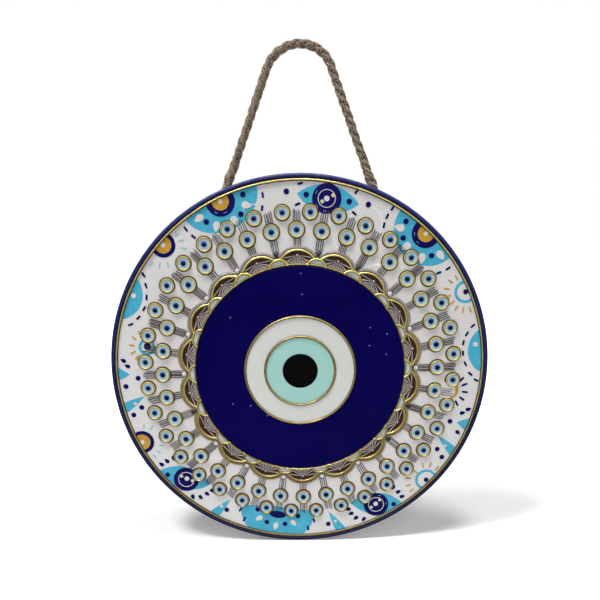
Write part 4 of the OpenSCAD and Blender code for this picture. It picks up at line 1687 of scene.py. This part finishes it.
@dataclass
class RopeHanger:
    """Three-strand jute rope over the hook, with a spliced eye round each wire ring.

    The route's points are X and Z about the hook, in millimetres.
    """

    rope_d: float = 4.5
    lay_length: float = 15.0
    strand_share: float = 0.53
    leg_angle: float = 21.3
    hitch: Point = (41.361, -74.168)
    eye_bend_r: float = 3.15
    eye_length: float = 14.0
    splice_from: float = 8.5
    splice_to: float = 26.0
    splice_bulge: float = 0.2
    hairs: int = 170
    seed: int = 11
    route_skip: int = 5
    route: tuple[Point, ...] = (
        (-31.9, -50), (-28.1, -40), (-24.3, -30), (-20.6, -20), (-17, -10.5), (-15.5, -7),
        (-13.2, -3.7), (-9.8, -0.8), (-5.3, 1.4), (0, 2.25), (5.3, 1.4), (9.8, -0.8),
        (13.2, -3.9), (15, -7.3), (16.3, -10.5), (20, -20), (24, -30), (27.9, -40), (31.9, -50),
    )  # fmt: skip

    @staticmethod
    def resample(path: Sequence[Vector], spacing: float) -> list[Vector]:
        """Smooth curve through the points of a path, in steps of about one spacing."""
        ends = [2 * path[0] - path[1], *path, 2 * path[-1] - path[-2]]
        fine = []
        for a, b, c, d in zip(ends, ends[1:], ends[2:], ends[3:]):
            steps = max(1, round((c - b).length / spacing))
            for k in range(steps):
                t = k / steps
                bend = 2 * b + (c - a) * t
                bend += (2 * a - 5 * b + 4 * c - d) * t * t
                bend += (3 * b - a - 3 * c + d) * t**3
                fine.append(bend / 2)
        return fine + [path[-1]]

    def strands(
        self, path: Sequence[Vector], across: Vector, radii: Sequence[float], lay: float, phase: float,
        seed: int
    ) -> list[bpy.types.Mesh]:
        """Three strands twisted round a path.

        Args:
            path: Fine points of the rope's centreline.
            across: Direction square to the plane of the path.
            radii: Radius of the whole rope at each point.
            lay: Length of one full turn of the strands.
            phase: Turn of the first strand at the start, in radians.
            seed: Chooses the strands' unevenness.

        Returns:
            One mesh for each strand.
        """
        made = []
        last = len(path) - 1
        tangents = [(path[min(i + 1, last)] - path[max(i - 1, 0)]).normalized() for i in range(len(path))]
        for strand in range(3):
            run, spots, sizes = 0.0, [], []
            for i, (spot, along, radius) in enumerate(zip(path, tangents, radii)):
                run += (spot - path[i - 1]).length if i else 0.0
                wobble = noise.noise(Vector((run * 0.16, strand * 5.3, seed * 1.7)))
                size = radius * self.strand_share * (1 + 0.10 * wobble)
                turn = phase + math.tau * (run / lay + strand / 3) + 0.18 * wobble
                side = along.cross(across)
                spots.append(spot + (radius - size) * (math.cos(turn) * side + math.sin(turn) * across))
                sizes.append(size)
            blank = tube(spots, sizes, 2)
            middle = {vert.index: self.nearest(path, vert.co) for vert in blank.vertices}
            # The outward number lets the jute material paint shade in the grooves.
            layer = blank.attributes.new("outward", "FLOAT", "POINT")
            for index, (gap, near) in middle.items():
                layer.data[index].value = gap / radii[near]
            made.append(blank)
        return made

    @staticmethod
    def nearest(path: Sequence[Vector], spot: Vector) -> tuple[float, int]:
        """Distance from a spot to the nearest point of a path, and that point's number."""
        return min(((p - spot).length, i) for i, p in enumerate(path))

    def main_path(self) -> list[Vector]:
        """Fine centreline of the rope over the hook."""
        return self.resample([Vector((x, 0, z)) for x, z in self.route], 0.8)

    def rope(self) -> Piece:
        """The rope between its two splices."""
        path = self.main_path()
        radius = self.rope_d / 2
        radii = [radius * (1 + 0.04 * noise.noise(Vector((i * 0.07, 3.1, 0)))) for i in range(len(path))]
        return Piece("jute_rope", *self.strands(path, Vector((0, 1, 0)), radii, self.lay_length, 0.4, 1))

    def leg_matrix(self, side: int) -> Matrix:
        """Place where the rope meets its ring, with Z along the rope's leg."""
        x, z = self.hitch
        return Matrix.Translation((side * x, 0, z)) @ turned(-side * self.leg_angle, "Y")

    def eye(self, side: int) -> Piece:
        """Rope bent round its ring, both legs running up into the splice."""
        bend, tall = self.eye_bend_r, self.eye_length
        turns = [i / 4 for i in range(4)]
        leg = [(bend * (0.16 + 0.84 * math.sin(math.pi / 2 * t) ** 1.2), tall * (1 - t)) for t in turns]
        points = [Vector((0, -y, z)) for y, z in leg]
        points += [
            Vector((0, -bend * math.cos(t), -bend * math.sin(t)))
            for t in (math.pi * i / 6 for i in range(7))
        ]
        points += [Vector((0, y, z)) for y, z in reversed(leg)]
        path = self.resample(points, 0.7)
        radii = [self.rope_d / 2 * 0.97] * len(path)
        blanks = self.strands(path, Vector((1, 0, 0)), radii, 11.0, 0.9 * side, 5 + side)
        piece = Piece(f"{'left' if side < 0 else 'right'}_rope_bight")
        for blank in blanks:
            piece.add(blank, self.leg_matrix(side))
        return piece

    def splice(self, side: int) -> Piece:
        """Swelling where the rope's tail is tucked into its own strands, with two tail ends showing."""
        steps = 26
        radius, length = self.rope_d / 2, self.splice_to - self.splice_from
        shares = [i / steps for i in range(steps + 1)]
        path = [Vector((0, 0, self.splice_from + length * t)) for t in shares]
        swell = [radius + self.splice_bulge * max(0.0, math.sin(math.pi * t**0.7)) ** 0.8 for t in shares]
        blanks = self.strands(path, Vector((0, 1, 0)), swell, 13.0, 0.6 + side, 9 + side)
        for start, stop, turn in ((0.05, 0.62, 0.9), (0.3, 0.86, 3.3)):
            count = 12
            spots, sizes = [], []
            for i in range(count + 1):
                t = start + (stop - start) * i / count
                out = (radius + self.splice_bulge * math.sin(math.pi * t**0.7) ** 0.8) * 0.86
                angle = side * turn - math.tau * (stop - start) * i / count * 0.9
                spots.append(
                    Vector((out * math.cos(angle), out * math.sin(angle), self.splice_from + length * t))
                )
                sizes.append(0.75 * math.sin(math.pi * (0.12 + 0.8 * i / count)) ** 0.6)
            blanks.append(tag(tube(spots, sizes, 2), "outward", lambda co: 1.0))
        piece = Piece(f"{'left' if side < 0 else 'right'}_rope_splice")
        for blank in blanks:
            piece.add(blank, self.leg_matrix(side))
        return piece

    def fuzz(self) -> Piece:
        """Loose fibres that stand off the rope."""
        dice = random.Random(self.seed)
        path = self.main_path()
        piece = Piece("jute_fuzz")
        for _ in range(self.hairs):
            i = dice.randrange(4, len(path) - 4)
            along = (path[i + 1] - path[i - 1]).normalized()
            turn = dice.uniform(0, math.tau)
            out = math.cos(turn) * along.cross(Vector((0, 1, 0))) + math.sin(turn) * Vector((0, 1, 0))
            start = path[i] + out * self.rope_d * 0.42
            reach, lift = dice.uniform(1.0, 3.6) * dice.choice((-1, 1)), dice.uniform(0.2, 0.9)
            spots = [start + along * reach * t + out * lift * t * (1.6 - t) for t in (0, 0.35, 0.7, 1)]
            if max(p.z for p in spots) > self.rope_d:
                continue
            piece.add(tag(tube(spots, [0.05, 0.045, 0.035, 0.015], 0), "outward", lambda co: 1.0))
        return piece

    def build(self, looks: dict[str, bpy.types.Material]) -> None:
        matrix = Matrix.Scale(MM, 4)
        jute = looks["jute"]
        rope = self.rope().finish(matrix, Body.HANGER, Slot.JUTE, jute, ["rope_loop"], 180.0)
        others = [self.fuzz().finish(matrix, Body.HANGER, Slot.JUTE, jute, crease=180.0)]
        for side, word in ((-1, "left"), (1, "right")):
            for piece, node in ((self.splice(side), f"{word}_splice"), (self.eye(side), f"{word}_rope_eye")):
                others.append(piece.finish(matrix, Body.HANGER, Slot.JUTE, jute, [node], 180.0))
        fine = self.main_path()


# ---------------------------------------- studio


@dataclass
class Studio:
    """Camera, pale floor, soft lamps and plain surroundings."""

    setting: Setting
    lens: float = 35.0
    shift: float = 0.125
    eye_point: tuple[float, float, float] = (-4.02, -313.6, -82.55)
    pitch: float = -14.47
    yaw: float = -0.744
    floor_r: float = 4.0
    floor_gap: float = 0.2
    apron: float = 0.3
    lamps: tuple[tuple[str, tuple[float, float, float], float, float, float], ...] = (
        ("key_lamp", (-0.45, -0.33, 1.0), 1.2, 0.26, 10.0),
        ("top_lamp", (0.05, -0.22, 1.0), 1.2, 0.26, 7.0),
        ("front_lamp", (0.15, -1.0, 0.75), 1.3, 0.9, 2.0),
    )

    def place_camera(self) -> None:
        """Makes the scene's camera."""
        data = bpy.data.cameras.new("camera")
        data.lens = self.lens
        data.sensor_width = 36.0
        data.shift_y = self.shift
        data.clip_start, data.clip_end = 0.01, 50.0
        camera = bpy.data.objects.new("camera", data)
        camera.location = Vector(self.eye_point) * MM
        camera.rotation_euler = Euler((math.radians(90 + self.pitch), 0, math.radians(self.yaw)))
        bpy.context.scene.collection.objects.link(camera)
        bpy.context.scene.camera = camera

    def lay_floor(self) -> None:
        """Makes the floor that the plaque's lower edge hangs just clear of. Its material glows, faintly near
        the plaque and fully far behind: painted light that lifts its shadows and whitens the far floor.
        """
        bm = bmesh.new()
        bmesh.ops.create_circle(bm, cap_ends=True, radius=self.floor_r, segments=96)
        mesh = mesh_of(bm)
        level = (self.setting.centre_z - self.setting.radius - self.floor_gap) * MM
        mesh.transform(Matrix.Translation((0, self.floor_r - self.apron, level)))
        floor = bpy.data.objects.new("floor", mesh)
        bpy.context.scene.collection.objects.link(floor)
        floor.visible_glossy = False
        made, board = new_material("floor")
        place = board.place()
        behind = board.math("MULTIPLY", board.math("ABSOLUTE", place.outputs["X"]), 0.4)
        behind = board.math("ADD", place.outputs["Y"], behind)
        diffuse = board.node("ShaderNodeBsdfDiffuse", {"Color": (0.9, 0.9, 0.9, 1), "Roughness": 0.5})
        # Painted light: the floor glows, more strongly further behind and to the sides.
        glow = board.node("ShaderNodeEmission", {"Strength": board.spread(behind, 0.08, 0.5, 0.14, 1.0)})
        both = board.node("ShaderNodeAddShader", {0: diffuse.outputs[0], 1: glow.outputs[0]})
        board.node("ShaderNodeOutputMaterial", {"Surface": both.outputs[0]})
        mesh.materials.append(made)

    def hang_lamp(
        self, name: str, toward: Sequence[float], distance: float, size: float, power: float
    ) -> None:
        """Makes a round soft lamp that looks at the plaque's middle.

        Args:
            name: Name of the lamp.
            toward: Direction from the plaque to the lamp.
            distance: Distance in metres.
            size: Diameter of the lamp in metres.
            power: Power in watts.
        """
        data = bpy.data.lights.new(name, "AREA")
        data.shape = "DISK"
        data.size = size
        data.energy = power
        lamp = bpy.data.objects.new(name, data)
        direction = Vector(toward).normalized()
        lamp.location = Vector((0, 0, self.setting.centre_z * MM)) + direction * distance
        lamp.rotation_euler = direction.to_track_quat("Z", "Y").to_euler()
        bpy.context.scene.collection.objects.link(lamp)

    def paint_world(self) -> None:
        """Makes the surroundings: white to look at, soft all round, and dark low down to glossy surfaces."""
        world = bpy.data.worlds.new("studio")
        bpy.context.scene.world = world
        world.use_nodes = True
        world.node_tree.nodes.clear()
        board = Board(world.node_tree)
        rays = board.node("ShaderNodeLightPath")
        where = board.node("ShaderNodeTexCoord").outputs["Generated"]
        rise = board.node("ShaderNodeSeparateXYZ", {0: where}).outputs["Z"]
        sky = board.spread(rise, 0.02, 0.5, 0.03, 1.0)
        plain, gloss, white = (
            board.node("ShaderNodeBackground", {"Color": (1, 1, 1, 1), "Strength": strength})
            for strength in (0.3, sky, 1.0)
        )
        glossy, seen = rays.outputs["Is Glossy Ray"], rays.outputs["Is Camera Ray"]
        soft = board.node("ShaderNodeMixShader", {0: glossy, 1: plain.outputs[0], 2: gloss.outputs[0]})
        shown = board.node("ShaderNodeMixShader", {0: seen, 1: soft.outputs[0], 2: white.outputs[0]})
        board.node("ShaderNodeOutputWorld", {"Surface": shown.outputs[0]})

    def build(self) -> None:
        """Sets up the whole studio."""
        self.place_camera()
        self.lay_floor()
        for lamp in self.lamps:
            self.hang_lamp(*lamp)
        self.paint_world()
        bpy.context.scene.view_settings.view_transform = "Standard"


# ---------------------------------------- the order


def mix_looks(setting: Setting, effects: Effects) -> dict[str, bpy.types.Material]:
    """Makes every material of the ornament.

    Args:
        setting: The plaque's heights, which the gold's painted foot shade follows.
        effects: The shared node groups.

    Returns:
        The materials by name.
    """
    top, eye = setting.panel_top, setting.eye_top
    # dark is the painted shade colour of the gold's feet.
    bright, warm, dark = srgb(255, 238, 146), srgb(232, 196, 96), srgb(36, 22, 6)
    fine, fine_warm = srgb(214, 190, 110), srgb(170, 130, 60)
    finishes = [
        # Painted shade: the blue lacquer darkens towards the bottom of the plaque.
        Graded("blue_lacquer", srgb(4, 9, 62), srgb(7, 22, 96), None, -0.24, -0.08, 0.5, 0.0, 0.0),
        Glaze(
            "white_resin", srgb(217, 215, 214), srgb(210, 209, 209), scale=45, roughness=0.22, coat=0.6,
            wave=75, depth=0.25
        ),
        Glaze(
            "navy_resin", srgb(6, 2, 76), srgb(4, 1, 64), scale=25, roughness=0.12, wave=25, depth=0.03,
            skin=0.002, fleck=srgb(150, 150, 200)
        ),
        Glaze(
            "eye_white", srgb(211, 213, 208), srgb(204, 207, 202), scale=40, roughness=0.15, wave=40,
            depth=0.04
        ),
        Glaze(
            "eye_turquoise", srgb(162, 208, 200), srgb(152, 199, 191), scale=40, roughness=0.15, wave=40,
            depth=0.04
        ),
        Glaze("eye_black", srgb(8, 8, 9), srgb(3, 3, 4), scale=60, roughness=0.12, wave=40, depth=0.03),
        Glaze("fan_rib", srgb(222, 214, 212), srgb(186, 176, 176), scale=500, roughness=0.35),
        Glaze("pearl", srgb(190, 182, 180), srgb(160, 150, 150), scale=500, roughness=0.2, coat=0.6),
        Glaze("link_pane", srgb(198, 204, 202), srgb(166, 182, 182), scale=300, roughness=0.2, coat=0.4),
        Glaze("bead_white", srgb(212, 209, 207), srgb(196, 192, 190), scale=400, roughness=0.2, coat=0.4),
        # Painted shade round the small eyes' rim feet.
        Glaze("rim_line", srgb(86, 66, 36), srgb(58, 42, 24), scale=500, roughness=0.4),
        Glaze("bead_line", srgb(112, 104, 100), srgb(84, 76, 72), scale=500, roughness=0.35),
        Glaze("bead_dark", srgb(56, 52, 60), srgb(30, 27, 34), scale=500, roughness=0.3, coat=0.4),
        Glaze(
            "ink_turquoise", srgb(66, 168, 198), srgb(80, 178, 206), scale=120, roughness=0.25, coat=0.3,
            depth=0.08
        ),
        Glaze("ink_pale", srgb(140, 196, 204), srgb(126, 186, 198), scale=120, roughness=0.25, coat=0.3),
        Glaze(
            "ink_navy", srgb(14, 10, 92), srgb(10, 6, 74), scale=160, roughness=0.22, coat=0.3,
            depth=0.06
        ),
        Glaze("ink_ochre", srgb(196, 152, 56), srgb(178, 132, 40), scale=160, roughness=0.25, coat=0.3),
        Glaze("ink_white", srgb(216, 212, 212), srgb(204, 200, 202), scale=160, roughness=0.22, coat=0.3),
        Glaze("ink_beige", srgb(214, 206, 164), srgb(196, 188, 140), scale=160, roughness=0.25, coat=0.3),
        # Painted highlight: the resin runs are paler than the white face.
        Glaze(
            "clear_run", srgb(238, 236, 234), srgb(226, 224, 222), scale=200, roughness=0.12, coat=0.8,
            depth=0.02
        ),
        Glaze(
            "rubber", srgb(34, 34, 36), srgb(48, 47, 46), scale=300, roughness=0.7, gloss=0.3, wave=900,
            depth=0.05
        ),
        # The three gildings darken at each line's foot and towards the bottom: painted shade.
        Gilding("gold", bright, warm, dark, setting.depth(top + 0.58), setting.depth(top + 0.93)),
        Gilding("gold_rim", bright, warm, dark, setting.depth(top + 0.4), setting.depth(top + 0.95)),
        Gilding("gold_fine", fine, fine_warm, dark, setting.depth(eye + 0.25), setting.depth(eye + 0.55)),
        Graded("grey_arc", srgb(214, 190, 134), srgb(216, 213, 211), None, -0.16, -0.11, 0.35, 0.3),
        Graded("arc_valley", srgb(96, 66, 32), srgb(112, 104, 100), None, -0.16, -0.11, 0.4),
        # Painted shade: the fan panels darken to brown towards their gold wire.
        Graded("fan_panel", srgb(136, 124, 124), srgb(60, 36, 20), "out", 0.6, 0.92, 0.35),
        Graded("small_white", srgb(162, 208, 230), srgb(206, 212, 226), "out", 0.72, 0.86),
        Graded("small_blue", srgb(20, 44, 112), srgb(160, 208, 230), "out", 0.52, 1.0),
        Graded("small_dark", srgb(4, 6, 34), srgb(10, 18, 70), "out", 0.5, 1.0),
        Graded("ink_grey", srgb(64, 52, 42), srgb(66, 58, 58), None, -0.22, -0.12, 0.3),
        Jute(),
        Felt(),
    ]
    looks = {finish.name: finish.make(effects) for finish in finishes}
    looks["steel"] = Steel().make(effects)
    return looks


def main() -> None:
    """Builds the studio, the rope and the plaque in order."""
    logging.basicConfig(level=logging.INFO, format="%(name)s: %(message)s")
    setting = Setting.read()
    Studio(setting).build()
    effects = Effects()
    looks = mix_looks(setting, effects)
    parts = (
        RopeHanger(),
        PlaqueBody(setting),
        LargeEye(setting),
        ScallopRing(setting),
        SmallEyes(setting, "inner", ring_r=73.0, rim_r=4.1, offset=0.0, seed=3),
        SmallEyes(setting, "outer", ring_r=81.7, rim_r=3.9, offset=5.0, seed=4),
        FacePrint(setting),
        BackHardware(setting),
    )
    for part in parts:
        part.build(looks)


if __name__ == "__main__":
    main()
